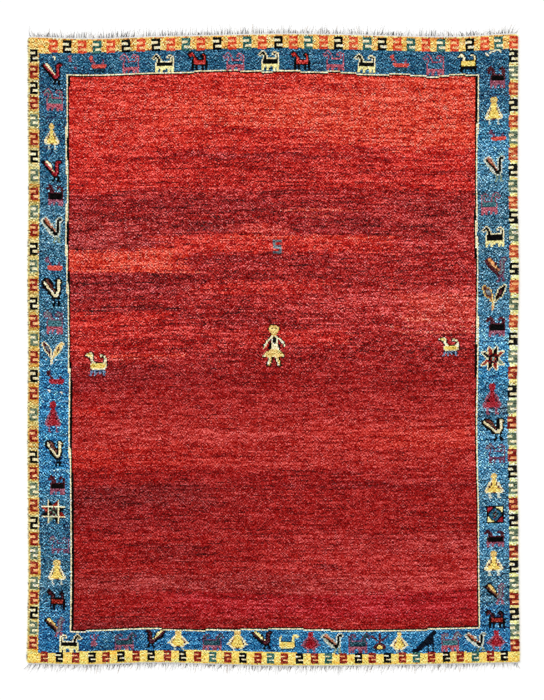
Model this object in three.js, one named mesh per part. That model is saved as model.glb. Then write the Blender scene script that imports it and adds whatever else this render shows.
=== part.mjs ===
// A hand-knotted gabbeh rug lying flat, in millimetres, with +Z up.
// The width runs along X and the length along Y. The underside lies at Z 0.
// The rug is its knotted body, an overcast selvedge on each long edge, and a
// flat-woven end strip with its warp fringe at each short edge.
import * as THREE from 'three';

// Driving sizes of the knotted body
const PILE_WIDTH = 1560;
const PILE_LENGTH = 2004;
const THICKNESS = 12;
const EDGE_STEP = 41;

// Gap left between pieces that touch
const GAP = 0.3;

// Fringe sizes: the woven end strip and the free warps that leave it
const STRIP_WIDTH = 8;
const STRIP_THICKNESS = 3;
const STRANDS_PER_END = 150;
const STRAND_WIDTH = 4.6;
const STRAND_SWAY = 1.8;
const LENGTH_VARIATION = 0.12;
const TOP_STRAND_LENGTH = 29;
const BOTTOM_STRAND_LENGTH = 34;

// How far the corner strands lean outwards, and how many of them lean
const CORNER_LEAN = 14;
const LEANING_STRANDS = 5;

// How far each long edge strays outwards, at even steps from the bottom end to the top end
const SIDE_STRAY = [
  { left: 1.1, right: 7.8 },
  { left: -3.4, right: 4.0 },
  { left: -2.4, right: 1.8 },
  { left: -1.1, right: -3.0 },
  { left: -3.4, right: 0.5 },
  { left: -1.4, right: 4.3 },
  { left: -4.3, right: 0.8 },
  { left: -2.7, right: 1.8 },
  { left: -2.4, right: 2.7 },
];

// How far each short edge strays outwards, at even steps from the left side to the right side
const END_STRAY = [
  { top: -3.5, bottom: -1.9 },
  { top: -9.3, bottom: 1.6 },
  { top: -2.9, bottom: -5.1 },
  { top: 1.6, bottom: -0.6 },
  { top: 6.1, bottom: 4.5 },
  { top: 4.8, bottom: 4.5 },
  { top: -0.3, bottom: 2.2 },
  { top: -2.9, bottom: -1.3 },
  { top: 6.7, bottom: -4.8 },
];

// The body's rim from the underside to the pile's top: how far in, and how far up
const RIM = [
  { inset: 1.5, up: 0 },
  { inset: 0, up: 2 },
  { inset: 0, up: 8.5 },
  { inset: 1.6, up: 11 },
  { inset: 5, up: THICKNESS },
];

// The overcast selvedge's section: how far out from the body's edge, and how far up
const SELVEDGE_SECTION = [
  { out: GAP, up: 2 },
  { out: 1.6, up: 0 },
  { out: 5.2, up: 0 },
  { out: 6.6, up: 2.4 },
  { out: 6.2, up: 5.6 },
  { out: 4.2, up: 7.6 },
  { out: GAP, up: 7.6 },
];

// A strand's sections from its root to its tip: share of the length, of the width and of the strip's thickness
const STRAND_SECTIONS = [
  { reach: 0, wide: 1, tall: 1 },
  { reach: 0.5, wide: 0.8, tall: 0.9 },
  { reach: 1, wide: 0.3, tall: 0.5 },
];

// A smooth value between evenly spaced ones, for a share from 0 to 1 along them
function smoothValue(values, share) {
  const curve = new THREE.SplineCurve(values.map((value, i) => new THREE.Vector2(i, value)));
  return curve.getPoint(THREE.MathUtils.clamp(share, 0, 1)).y;
}

const STRAY = {
  left: SIDE_STRAY.map((row) => row.left),
  right: SIDE_STRAY.map((row) => row.right),
  top: END_STRAY.map((row) => row.top),
  bottom: END_STRAY.map((row) => row.bottom),
};

// The X of a long edge at a given Y; side is -1 for the left edge and 1 for the right one
function sideX(side, y) {
  const stray = side < 0 ? STRAY.left : STRAY.right;
  return side * (PILE_WIDTH / 2 + smoothValue(stray, y / PILE_LENGTH + 0.5));
}

// The Y of a short edge at a given X; end is -1 for the bottom edge and 1 for the top one
function endY(end, x) {
  const stray = end < 0 ? STRAY.bottom : STRAY.top;
  return end * (PILE_LENGTH / 2 + smoothValue(stray, x / PILE_WIDTH + 0.5));
}

// Where a long edge meets a short one
function corner(side, end) {
  const y = endY(end, (side * PILE_WIDTH) / 2);
  return new THREE.Vector2(sideX(side, y), y);
}

// A closed shell gathered from points and flat faces
class Shell {
  constructor(mirrored = false) {
    this.points = [];
    this.faces = [];
    this.mirrored = mirrored;
  }

  point(x, y, z) {
    this.points.push(x, y, z);
    return this.points.length / 3 - 1;
  }

  triangle(a, b, c) {
    this.faces.push(...(this.mirrored ? [a, c, b] : [a, b, c]));
  }

  quad(a, b, c, d) {
    this.triangle(a, b, c);
    this.triangle(a, c, d);
  }

  // Joins two rings of the same number of points
  band(lower, upper) {
    lower.forEach((a, i) => {
      const next = (i + 1) % lower.length;
      this.quad(a, lower[next], upper[next], upper[i]);
    });
  }

  geometry() {
    const geometry = new THREE.BufferGeometry();
    geometry.setAttribute('position', new THREE.Float32BufferAttribute(this.points, 3));
    geometry.setIndex(this.faces);
    geometry.computeVertexNormals();
    return geometry;
  }
}

// The knotted body

// The four edges of the outline, anticlockwise from the bottom left corner
function bodyOutline() {
  const across = Math.round(PILE_WIDTH / EDGE_STEP);
  const along = Math.round(PILE_LENGTH / EDGE_STEP);
  const corners = [corner(-1, -1), corner(1, -1), corner(1, 1), corner(-1, 1)];
  const outline = [];
  const addEdge = (steps, start, finish, place) => {
    for (let i = 0; i < steps; i += 1) {
      outline.push(i === 0 ? start.clone() : place(start.clone().lerp(finish, i / steps)));
    }
  };
  const onEnd = (end) => (p) => new THREE.Vector2(p.x, endY(end, p.x));
  const onSide = (side) => (p) => new THREE.Vector2(sideX(side, p.y), p.y);
  addEdge(across, corners[0], corners[1], onEnd(-1));
  addEdge(along, corners[1], corners[2], onSide(1));
  addEdge(across, corners[2], corners[3], onEnd(1));
  addEdge(along, corners[3], corners[0], onSide(-1));
  return { outline, across, along };
}

// Moves each outline point inwards, square to the outline
function insetOutline(outline, inset) {
  return outline.map((point, i) => {
    const before = outline[(i + outline.length - 1) % outline.length];
    const after = outline[(i + 1) % outline.length];
    const into = point.clone().sub(before).normalize();
    const away = after.clone().sub(point).normalize();
    const inward = new THREE.Vector2(-into.y - away.y, into.x + away.x);
    const reach = inset / Math.max(inward.length() / 2, 0.5);
    return point.clone().add(inward.setLength(inset === 0 ? 0 : reach));
  });
}

// Fills a ring with strips from side to side, and a fan at each end
function fillRing(shell, ring, across, along, upwards) {
  const face = (a, b, c) => (upwards ? shell.triangle(a, b, c) : shell.triangle(a, c, b));
  const right = (i) => ring[across + i];
  const left = (i) => ring[(2 * across + 2 * along - i) % ring.length];
  for (let i = 1; i < along - 1; i += 1) {
    face(left(i), right(i), right(i + 1));
    face(left(i), right(i + 1), left(i + 1));
  }
  const middle = Math.floor(across / 2);
  const bottom = (i) => ring[i];
  const top = (i) => ring[across + along + i];
  for (let i = 0; i < across; i += 1) {
    face(bottom(i), bottom(i + 1), i < middle ? left(1) : right(1));
    face(top(i), top(i + 1), i < middle ? right(along - 1) : left(along - 1));
  }
  face(bottom(middle), right(1), left(1));
  face(top(middle), left(along - 1), right(along - 1));
}

function bodyGeometry() {
  const shell = new Shell();
  const { outline, across, along } = bodyOutline();
  const rings = RIM.map(({ inset, up }) =>
    insetOutline(outline, inset).map((p) => shell.point(p.x, p.y, up)),
  );
  for (let i = 0; i + 1 < rings.length; i += 1) {
    shell.band(rings[i], rings[i + 1]);
  }
  fillRing(shell, rings[0], across, along, false);
  fillRing(shell, rings[rings.length - 1], across, along, true);
  return shell.geometry();
}

// The overcast selvedges

function selvedgeGeometry(side) {
  const shell = new Shell(side < 0);
  const start = corner(side, -1).y;
  const finish = corner(side, 1).y;
  const steps = Math.round(PILE_LENGTH / EDGE_STEP);
  const rings = [];
  for (let i = 0; i <= steps; i += 1) {
    const y = THREE.MathUtils.lerp(start, finish, i / steps);
    rings.push(SELVEDGE_SECTION.map(({ out, up }) => shell.point(sideX(side, y) + side * out, y, up)));
  }
  for (let i = 0; i < steps; i += 1) {
    shell.band(rings[i + 1], rings[i]);
  }
  const count = SELVEDGE_SECTION.length;
  for (let i = 1; i + 1 < count; i += 1) {
    shell.triangle(rings[0][0], rings[0][i], rings[0][i + 1]);
    shell.triangle(rings[steps][0], rings[steps][i + 1], rings[steps][i]);
  }
  return shell.geometry();
}

// The fringes

// A steady, uneven number from -1 to 1 for each strand
function uneven(index, seed) {
  return Math.sin(index * 12.9898 + seed * 4.1414) * Math.cos(index * 3.7 + seed);
}

// How far a strand's tip leans along X
function strandLean(index, seed) {
  const fromEdge = Math.min(index, STRANDS_PER_END - 1 - index);
  const outwards = index < STRANDS_PER_END / 2 ? -1 : 1;
  const share = Math.max(0, 1 - fromEdge / LEANING_STRANDS);
  return outwards * CORNER_LEAN * share + STRAND_SWAY * uneven(index, seed);
}

// A narrow woven strip with a row of strands that leave its outer edge, resting level on the floor
function fringeGeometry(end, strandLength) {
  const shell = new Shell(end < 0);
  const left = corner(-1, end).x;
  const right = corner(1, end).x;
  const pitch = (right - left) / STRANDS_PER_END;
  const column = (x) => {
    const back = endY(end, x) + end * GAP;
    const front = back + end * STRIP_WIDTH;
    return {
      front,
      x,
      backLow: shell.point(x, back, 0),
      backHigh: shell.point(x, back, STRIP_THICKNESS),
      frontLow: shell.point(x, front, 0),
      frontHigh: shell.point(x, front, STRIP_THICKNESS),
    };
  };
  const slab = (a, b) => {
    shell.quad(a.backHigh, b.backHigh, b.frontHigh, a.frontHigh);
    shell.quad(a.frontLow, b.frontLow, b.backLow, a.backLow);
    shell.quad(a.backLow, b.backLow, b.backHigh, a.backHigh);
  };
  const frontWall = (a, b) => shell.quad(b.frontLow, a.frontLow, a.frontHigh, b.frontHigh);
  const strand = (a, b, index) => {
    const middle = (a.x + b.x) / 2;
    const root = (a.front + b.front) / 2;
    const length = strandLength * (1 + LENGTH_VARIATION * uneven(index, end + 5));
    const lean = strandLean(index, end + 2);
    const rings = STRAND_SECTIONS.map(({ reach, wide, tall }, i) => {
      if (i === 0) {
        return [b.frontLow, a.frontLow, a.frontHigh, b.frontHigh];
      }
      const x = middle + lean * reach * reach;
      const y = root + end * length * reach;
      const half = (wide * STRAND_WIDTH) / 2;
      const high = tall * STRIP_THICKNESS;
      return [
        shell.point(x + half, y, 0),
        shell.point(x - half, y, 0),
        shell.point(x - half, y, high),
        shell.point(x + half, y, high),
      ];
    });
    for (let i = 0; i + 1 < rings.length; i += 1) {
      shell.band(rings[i], rings[i + 1]);
    }
    shell.quad(...rings[rings.length - 1]);
  };
  let last = column(left);
  shell.quad(last.backLow, last.backHigh, last.frontHigh, last.frontLow);
  for (let i = 0; i < STRANDS_PER_END; i += 1) {
    const centre = left + (i + 0.5) * pitch;
    const from = column(centre - STRAND_WIDTH / 2);
    const to = column(centre + STRAND_WIDTH / 2);
    slab(last, from);
    frontWall(last, from);
    slab(from, to);
    strand(from, to, i);
    last = to;
  }
  const rim = column(right);
  slab(last, rim);
  frontWall(last, rim);
  shell.quad(rim.backLow, rim.frontLow, rim.frontHigh, rim.backHigh);
  return shell.geometry();
}

// The pieces and their finishes

const finish = (color) => new THREE.MeshStandardMaterial({ color, roughness: 0.95, metalness: 0 });
const PIECES = [
  { name: 'rug_body', geometry: bodyGeometry(), material: finish(0x9c2a2c) },
  { name: 'selvedge_left', geometry: selvedgeGeometry(-1), material: finish(0xd9cf9c) },
  { name: 'selvedge_right', geometry: selvedgeGeometry(1), material: finish(0xd9b766) },
  { name: 'fringe_top', geometry: fringeGeometry(1, TOP_STRAND_LENGTH), material: finish(0xd8d0c4) },
  { name: 'fringe_bottom', geometry: fringeGeometry(-1, BOTTOM_STRAND_LENGTH), material: finish(0xd8d0c4) },
];

const rug = new THREE.Group();
PIECES.forEach(({ name, geometry, material }) => {
  const mesh = new THREE.Mesh(geometry, material);
  mesh.name = name;
  rug.add(mesh);
});

// The origin is the middle of the underside's outer box
const middle = new THREE.Box3().setFromObject(rug).getCenter(new THREE.Vector3());
rug.position.set(-middle.x, -middle.y, 0);

export default rug;
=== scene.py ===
"""A hand-knotted gabbeh rug lying flat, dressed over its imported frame.

Sizes are in metres, with +X along the width, +Y along the length and +Z up out of the pile. Places in the
pattern are given in knots: columns from the left edge, and rows from the top end.
"""

import logging
import math
from dataclasses import dataclass, field
from enum import Enum

import bpy
import numpy as np
from bpy.types import Material, Mesh, Node, NodeSocket, NodeTree, Object, bpy_prop_collection
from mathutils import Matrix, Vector
from numpy.random import Generator


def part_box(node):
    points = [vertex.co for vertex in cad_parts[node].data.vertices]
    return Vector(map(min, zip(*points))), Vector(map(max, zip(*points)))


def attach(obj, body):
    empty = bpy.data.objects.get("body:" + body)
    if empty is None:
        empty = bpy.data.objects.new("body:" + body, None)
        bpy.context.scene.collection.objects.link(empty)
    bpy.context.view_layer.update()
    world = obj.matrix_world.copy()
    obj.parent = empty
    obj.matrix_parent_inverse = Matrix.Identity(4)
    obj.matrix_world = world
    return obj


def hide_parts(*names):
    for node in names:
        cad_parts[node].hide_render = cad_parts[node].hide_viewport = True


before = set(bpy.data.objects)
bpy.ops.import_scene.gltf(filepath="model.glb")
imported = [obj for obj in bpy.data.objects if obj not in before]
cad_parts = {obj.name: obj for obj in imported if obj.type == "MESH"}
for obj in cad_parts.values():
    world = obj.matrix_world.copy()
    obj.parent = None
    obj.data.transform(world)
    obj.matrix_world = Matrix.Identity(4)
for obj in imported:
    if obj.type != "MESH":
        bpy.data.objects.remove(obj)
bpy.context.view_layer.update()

LOG = logging.getLogger("gabbeh")
MM = 0.001
BODY = "root"


class Dye(Enum):
    """The dyes of the figures, the hooks and the lines, as red, green and blue from 0 to 255."""

    BLACK = (6, 5, 5)
    NAVY = (6, 14, 28)
    DEEP_TEAL = (20, 62, 74)
    TEAL = (58, 106, 114)
    SAGE = (120, 140, 120)
    SLATE = (106, 128, 160)
    GREY = (104, 112, 118)
    IVORY = (252, 246, 226)
    CREAM = (248, 232, 186)
    STRAW = (252, 236, 160)
    GOLD = (244, 208, 106)
    PEACH = (248, 176, 116)
    TAN = (228, 190, 112)
    BROWN = (92, 46, 34)
    RUST = (136, 28, 10)
    ORANGE = (216, 74, 42)
    FLAME = (190, 52, 46)
    VERMILION = (200, 72, 60)
    CRIMSON = (150, 24, 38)
    WINE = (68, 15, 27)
    ROSE = (146, 80, 98)
    CLAY = (172, 100, 74)
    EMBER = (190, 78, 44)
    PINK = (174, 84, 98)
    MAUVE = (104, 60, 84)
    MOSS = (98, 116, 94)
    JADE = (48, 98, 90)
    MIST = (196, 204, 188)


class Red(Enum):
    """The dyes of the field's lots of wool."""

    SCARLET = (213, 62, 43)
    POPPY = (197, 43, 28)
    BRICK = (183, 29, 17)
    CORAL = (196, 61, 49)
    BLUSH = (182, 50, 47)
    MADDER = (169, 21, 12)
    RUBY = (158, 25, 21)
    GARNET = (148, 15, 12)
    CLARET = (137, 16, 17)
    OXBLOOD = (124, 17, 17)
    HEATHER = (150, 34, 32)
    BLOOD = (108, 13, 15)
    CARMINE = (162, 21, 27)
    BLOSSOM = (232, 109, 88)


class Blue(Enum):
    """The dyes of the band's lots of wool."""

    INDIGO = (19, 93, 140)
    SEA = (25, 82, 112)
    STONE = (54, 101, 126)
    DENIM = (39, 111, 156)
    SKY = (70, 131, 167)
    PALE = (147, 177, 194)
    DUSK = (7, 37, 58)


class Yellow(Enum):
    """The dyes of the guard stripe's ground."""

    AMBER = (244, 192, 104)
    HONEY = (255, 217, 113)


class Edge(Enum):
    """An edge of the rug, with its side along X and its end along Y."""

    LEFT = (-1, 0)
    RIGHT = (1, 0)
    TOP = (0, 1)
    BOTTOM = (0, -1)


# Each letter is a knot in one of the figure's dyes, and each dot shows the ground
CHARTS = {
    "goat": """
...oo.............
..ohho......ooo...
.ohhhho....onnnoo.
ohhonno....oo.ono.
.oo.onno......ono.
....onno......ono.
....onnoooooooobo.
...obbbbbbbbbbbbo.
...obbbbbbbbbbbbo.
...obbbbbbbbbbbbo.
...obbbbbbbbbbbbo.
...llllllllllllll.
...llllllllllllll.
...lll.lll..lllll.
...ll..ll...ll.ll.
...ll..ll...ll.ll.
""",
    "dark goat": """
..ooo..............
.oohho.......ooo...
.ohhhho.....oohoo..
..ohonoo....oooho..
..oo.onoo....ooho..
.....onno.....oho..
....oonnoooooooho..
....oonooooooooooo.
....oobbbbbbbbbboo.
....oobbbbbbbbbboo.
....oobbbbbbbbbboo.
....oooooooooooooo.
....oo.oo....oo.oo.
....oo.oo....oo.oo.
....ll.ll....ll.ll.
....ll.ll....ll.ll.
""",
    "plain goat": """
...hh...........
..hhh...........
..hhh...........
...hnn.......n..
.....nn.....nn..
.....nn.....nn..
....bbbbbbbbbbbb
....bbbbbbbbbbbb
.....bbbbbbbbbb.
......dd.dd.dd..
......dd.dd.dd..
......dd.dd.dd..
""",
    "field goat": """
....oo.............
..oowwo............
.owbbwwo.....oo....
owbbbbwo....owwo...
.oowwbwo....owoww..
...oowwo.....ooowo.
....owwo........ow.
....owwo.......oww.
.....owwo......owwo
.....owwwoooooowwwo
.....wbbbbbbbbbbwwo
.....bbbbbbbbbbbbwo
.....bbbbbbbbbbbbwo
.....wbbbbbbbbbbww.
.....owwwwwwwwwwwo.
.....ololllollolo..
.....llollollolllo.
.....ll.lol.llollo.
.....l..ll..l.olo..
....ll..l......ll..
""",
    "low goat": """
............aaaa.
..a........abbaaa
.aa........ab.aa.
.a.........ab....
.a.........ab....
.aoooooooooab....
.abbbbbbbbbbbo...
.bbbbbbbbbbbbo...
.bbbbbbbbbbbbo...
.abbbbbbbbbbao...
.oaaaaaaaaaao....
..oooooooooo.....
""",
    "bird": """
...oo........mmm.
.oowwo......mnnnm
oobwwwo....mnnnnm
oobbwwwo...mnnmm.
.oobbwwwo..mnnm..
..oobbwwo..mnnm..
..ooobbwwo.mnnm..
...ooobbwo.mnnm..
....ooobbwomnnm..
.....ooobbwmnnm..
......ooobbnnnm..
.......oobnnnmm..
........oonnnm...
.........oommm...
..........ll.ll..
..........ll.ll..
.........ll..ll..
.........ll..lll.
""",
    "cream bird": """
..oooo......oooo.
.ooowwoo...oobboo
oobowwwoo..oobbbo
oobbowwwo..oobboo
ooobbowwwo.oobbo.
.ooobbowwo.oobbo.
..ooobbowwooobbo.
...ooobbowwoobbo.
....ooobbowoobbo.
.....ooobboobboo.
......ooobbbbboo.
.......ooobbboo..
........ooooooo..
..........o..o...
..........l..l...
..........ll.ll..
.........ll..ll..
.........ll..lll.
""",
    "woman": """
.....hhh.....
....hhhhh....
....hhhhh....
....hhhhh....
.....hhh.....
.....bbb.....
....abbba....
....abbba....
...aobbboa...
...aobbboa...
..aaobbboaa..
..aobbbbboa..
.aaobbbbboaa.
.aobbbbbbboa.
aaebbbbbbbeaa
eebbbbbbbbbee
eebbbbbbbbbee
.eeeeoooeeee.
...w.....w...
...w.....w...
...w.....w...
...ww....ww..
""",
    "short woman": """
......hhhh......
......hhhh......
......hhhh......
......abba......
.....abbbba.....
....aabbbbaa....
...aaobbbboaa...
..aaobbbbbboaa..
.aaobbbbbbbboaa.
aaaobbbbbbbboaaa
..eebbbbbbbbee..
...eebbbbbbee...
....eeeooeee....
.....w....w.....
.....ww...ww....
""",
    "field woman": """
......ooooo.......
.....oyyyyyoo.....
.....yyyyyyyy.....
....oyyoyyoyyo....
....oyyyyyyyyo....
.....yyyyyyyy.....
......yyyyyy......
......oyyyyo......
.......yyyy.......
......owyywo......
.....owwoowwo.....
....owwwooowwwo...
...owwowokowowwo..
..owwo.wokow.owwo.
..owo.owokowo.owwo
.oww.oowwkwwo..owo
oww..oowwwwwoo..ow
ow..ooowwwwwwoo...
w...ooowwwwwwo....
.....oyyyyyyyo....
....oyyyyyyyyyo...
...yyyyyyyyyyyyo..
..yyyyyyyyyyyyyyo.
.wyyyyyyyyyyyyyyyo
wwyyyyyyyyyyyyyyw.
ooo.wyyoo.wyyo.oo.
....owyo..owyo....
....owyo..owyo....
....owyo...wyyo...
...owwyo...owyo...
...owyo....owyo...
..oowyo.....wyoo..
...oooo.....ooo...
""",
    "leaves": """
.oo............qq.
okko..........qssq
okkko........qsssq
okkkko......qsssq.
.okppko....qstssq.
.okpppo....qstsq..
..okppko..qsttsq..
..okkpko..qstsq...
...okkko.qsstsq...
....okko.qsssq....
.....oko.qssq.....
.....okooqsq......
......ooqsq.......
.......oqq........
.......oq.........
.......wq.........
.......ww.........
.......wo.........
.......w..........
""",
    "star": """
.......w.....w.......
......wrw...wkw......
......wrrw.wkkw......
......wrrrwkkkw......
.wwww.wrrrwkkkw.wwww.
.wkkkwwrrrwkkkwwrrrw.
..wkkkwrrrkkxxwrrrw..
...wkkkxxkkkrrxrrw...
....wkkxxkrrkkxrw....
.....wwkkrggrkkw.....
....wrrkkrggrkkgw....
...wrrrxxkrrkxxggw...
..wrrrwrrkkkxxwgggw..
.wrrrwwkkkwrrrwwgggw.
.wwww.wkkkwrrrw.wwww.
......wkkkwrrrw......
......wkkw.wrrw......
......wkw...wrw......
.......w.....w.......
""",
    "cross star": """
......w.......w......
......wk.....rw......
......wkk...rrw......
......wkkk.rrrw......
......wkkkrrrrw......
.wwwwwwwwwwwwwwwwwww.
.rrrrrwkkgxxgkwkkkkk.
..rrrrwkkgxxgkwkkkk..
...rrrwggkkkkxwkkk...
....rrwxxkggkxwkk....
...kkkwxxkggkkwrrr...
..kkkkwkkxxxgkwrrrr..
.kkkkkwkkgxxgkwrrrrr.
.wwwwwwwwwwwwwwwwwww.
......wggggkkkw......
......wggg.kkkw......
......wgg...kkw......
......wg.....kw......
......w.......w......
""",
    "diamond": """
kkkkkkkkkkkkkk
krrrrkkkyyyyyk
krrrkkbbkkyyyk
krrkkbbbbkkyyk
krkkbbgrbbkkyk
kkkbbgkkgbbkkk
kkbbgkrgkgbbkk
kkbbgkgrkgbbkk
kkkbbgkkgbbkkk
kykbbbrgbbbkrk
kyykkbbbbkkrrk
kyyykkbbkkrrrk
kyyyyykkkrrrrk
kkkkkkkkkkkkkk
""",
    "plant": """
......rr......
......rr......
rr....rr....rr
.rr...rr...rr.
..rr..rr..rr..
...rr.rr.rr...
....rrrrrr....
......rr......
.....rrrr.....
...rrrrrrrr...
..rrrryyrrrr..
..rrryyyyrrr..
..rrryyyyrrr..
...gggggggg...
""",
    "crow": """
.................kk.
................kkkk
...............kkkkk
..............kkkkk.
.............kkkkk..
............kkkkkk..
...........kkkkkkk..
..........kkkkkkkk..
.........kkkkkkkkk..
........kkkkkkkkkk..
.......kkkkkkkkkkk..
......kkkkkkkk.k.k..
.....kkkkkk..k...k..
....kkkkkk...k...k..
..kkkkkkk....k...k..
.kkkkkkk.....k...k..
kkkkkk......kk..kk..
""",
    "chevrons": """
.......wwwww.
....wwww...ww
w..ww.......w
ww...........
.ww..........
""",
    "speck": """
ww
.w
""",
    "hook": """
xxxxxx
xxxxxx
iiiixx
iiiixx
xxxxxx
xxxxxx
xxiiii
xxiiii
xxxxxx
xxxxxx
""",
}


# The dye of each letter of a chart; a letter without one stays as the ground
Palette = dict[str, Enum | None]


def goat_dyes(outline: Dye, body: Dye | None, legs: Dye, head: Dye | None = None) -> Palette:
    """Dyes a goat: its outline and horns, its body, its head with neck and tail, and its legs.

    Args:
        outline: the dye of the outline.
        body: the dye of the body, or None where the ground shows inside the outline.
        legs: the dye of the legs.
        head: the dye of the head, the neck and the tail, or None where it is the body's.

    Returns:
        The palette for the goat charts.
    """
    fore = head or body
    return {"o": outline, "b": body, "n": fore, "h": fore, "l": legs}


def bird_dyes(
    outline: Dye, wing: Dye, stripe: Dye, legs: Dye, neck: tuple[Dye, Dye] | None = None
) -> Palette:
    """Dyes a bird.

    Args:
        outline: the dye of the outline.
        wing: the dye of the wing's lower side.
        stripe: the dye of the stripe along the wing.
        legs: the dye of the legs.
        neck: the dyes of the neck's outline and of the neck, where they aren't the wing's.

    Returns:
        The palette for the bird chart.
    """
    edge, fill = neck or (outline, wing)
    return {"o": outline, "b": wing, "w": stripe, "l": legs, "m": edge, "n": fill}


def woman_dyes(dress: Dye, head: Dye, arms: Dye, edge: Dye, hem: Dye, legs: Dye) -> Palette:
    """Dyes a woman: her dress, her head, her arms, the line inside them, her hem and her legs."""
    return {"b": dress, "h": head, "a": arms, "o": edge, "e": hem, "w": legs}


def one_dye(dye: Dye) -> Palette:
    """Dyes every letter of a small chart alike."""
    return dict.fromkeys("wkrgy", dye)


BLACK_CREAM_GOAT = goat_dyes(Dye.CREAM, Dye.BLACK, Dye.STRAW)
BLACK_RED_GOAT = goat_dyes(Dye.WINE, Dye.BLACK, Dye.ROSE, Dye.WINE)
RED_BLACK_GOAT = goat_dyes(Dye.BLACK, Dye.FLAME, Dye.NAVY)
DARK_RED_GOAT = goat_dyes(Dye.BLACK, Dye.RUST, Dye.BLACK, Dye.WINE)
PLAIN_RED_GOAT = {"b": Dye.VERMILION, "h": Dye.VERMILION, "n": Dye.ROSE, "d": Dye.DEEP_TEAL}
BARE_RED_GOAT = {"b": Dye.VERMILION, "h": Dye.MAUVE, "n": Dye.MAUVE}
BARE_DARK_GOAT = {"b": Dye.CRIMSON, "h": Dye.WINE, "n": Dye.WINE}
PINK_GOAT = goat_dyes(Dye.PINK, None, Dye.PINK)
PINK_TEAL_GOAT = goat_dyes(Dye.ROSE, Dye.TEAL, Dye.PINK)
ROSE_GREY_GOAT = goat_dyes(Dye.MAUVE, Dye.TEAL, Dye.PINK, Dye.GREY)
WINE_TEAL_GOAT = goat_dyes(Dye.MAUVE, Dye.DEEP_TEAL, Dye.ROSE)
BARE_MAUVE_GOAT = {"o": Dye.MAUVE, "l": Dye.MAUVE, "h": Dye.GREY}
YELLOW_GOAT = goat_dyes(Dye.BLACK, Dye.GOLD, Dye.BLACK, Dye.CREAM)
FIELD_GOAT = {"o": Dye.BLACK, "w": Dye.CREAM, "b": Dye.GOLD, "l": Dye.SLATE}
LOW_GOAT = {"b": Dye.GOLD, "a": Dye.STRAW, "o": Dye.DEEP_TEAL}
RED_BIRD = bird_dyes(Dye.BLACK, Dye.CRIMSON, Dye.CREAM, Dye.BLACK)
WINE_BIRD = bird_dyes(Dye.BLACK, Dye.WINE, Dye.STRAW, Dye.BLACK)
BLACK_BIRD = bird_dyes(Dye.MIST, Dye.BLACK, Dye.CLAY, Dye.SAGE)
CREAM_BIRD = bird_dyes(Dye.BLACK, Dye.CREAM, Dye.BROWN, Dye.BLACK)
BROWN_BIRD = bird_dyes(Dye.BLACK, Dye.BROWN, Dye.TAN, Dye.ROSE, (Dye.MAUVE, Dye.GREY))
GREY_BIRD = bird_dyes(Dye.WINE, Dye.BROWN, Dye.PEACH, Dye.MAUVE, (Dye.MAUVE, Dye.GREY))
YELLOW_WOMAN = woman_dyes(Dye.GOLD, Dye.TAN, Dye.CREAM, Dye.BROWN, Dye.CREAM, Dye.MIST)
RED_WOMAN = woman_dyes(Dye.CRIMSON, Dye.CRIMSON, Dye.ROSE, Dye.WINE, Dye.ROSE, Dye.ROSE)
FIELD_WOMAN = {"y": Dye.TAN, "w": Dye.CREAM, "o": Dye.BLACK, "k": Dye.BLACK}
LEAVES = {
    "o": Dye.CREAM, "k": Dye.WINE, "p": Dye.GREY, "q": Dye.CREAM, "s": Dye.TAN, "t": Dye.BROWN,
    "w": Dye.CREAM,
}
DARK_LEAVES = {
    "o": Dye.TAN, "k": Dye.BROWN, "p": Dye.GREY, "q": Dye.CREAM, "s": Dye.BLACK, "t": Dye.WINE,
    "w": Dye.PEACH,
}
STAR = {"w": Dye.CREAM, "k": Dye.BLACK, "r": Dye.RUST, "x": Dye.WINE, "g": Dye.SAGE}
DIAMOND = {"k": Dye.BLACK, "r": Dye.CRIMSON, "y": Dye.STRAW, "b": Blue.SEA, "g": Dye.TEAL}
PLANT = {"r": Dye.WINE, "y": Dye.GOLD, "g": Dye.DEEP_TEAL}
HOOK_DYES = {
    "R": {"x": Dye.RUST, "i": Dye.PEACH},
    "O": {"x": Dye.ORANGE, "i": Dye.PEACH},
    "E": {"x": Dye.EMBER, "i": Dye.PEACH},
    "K": {"x": Dye.BLACK, "i": Dye.CREAM},
    "T": {"x": Dye.JADE, "i": Dye.CREAM},
    "M": {"x": Dye.MOSS, "i": Dye.CREAM},
}


@dataclass(frozen=True)
class Figure:
    """A charted figure and where it is knotted.

    Args:
        chart: the chart's name.
        palette: its dyes.
        column: the first column, from the left edge.
        row: the first row, from the top end.
        wide: how many columns it takes.
        tall: how many rows it takes.
        mirrored: whether the chart is turned over from side to side.
    """

    chart: str
    palette: Palette
    column: float
    row: float
    wide: int
    tall: int
    mirrored: bool = False

    def cells(self) -> list[list[str]]:
        """The chart's letters, drawn out to the figure's own size."""
        lines = CHARTS[self.chart].split()
        rows = []
        for j in range(self.tall):
            line = lines[int((j + 0.5) * len(lines) / self.tall)]
            if self.mirrored:
                line = line[::-1]
            rows.append([line[int((i + 0.5) * len(line) / self.wide)] for i in range(self.wide)])
        return rows


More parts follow.
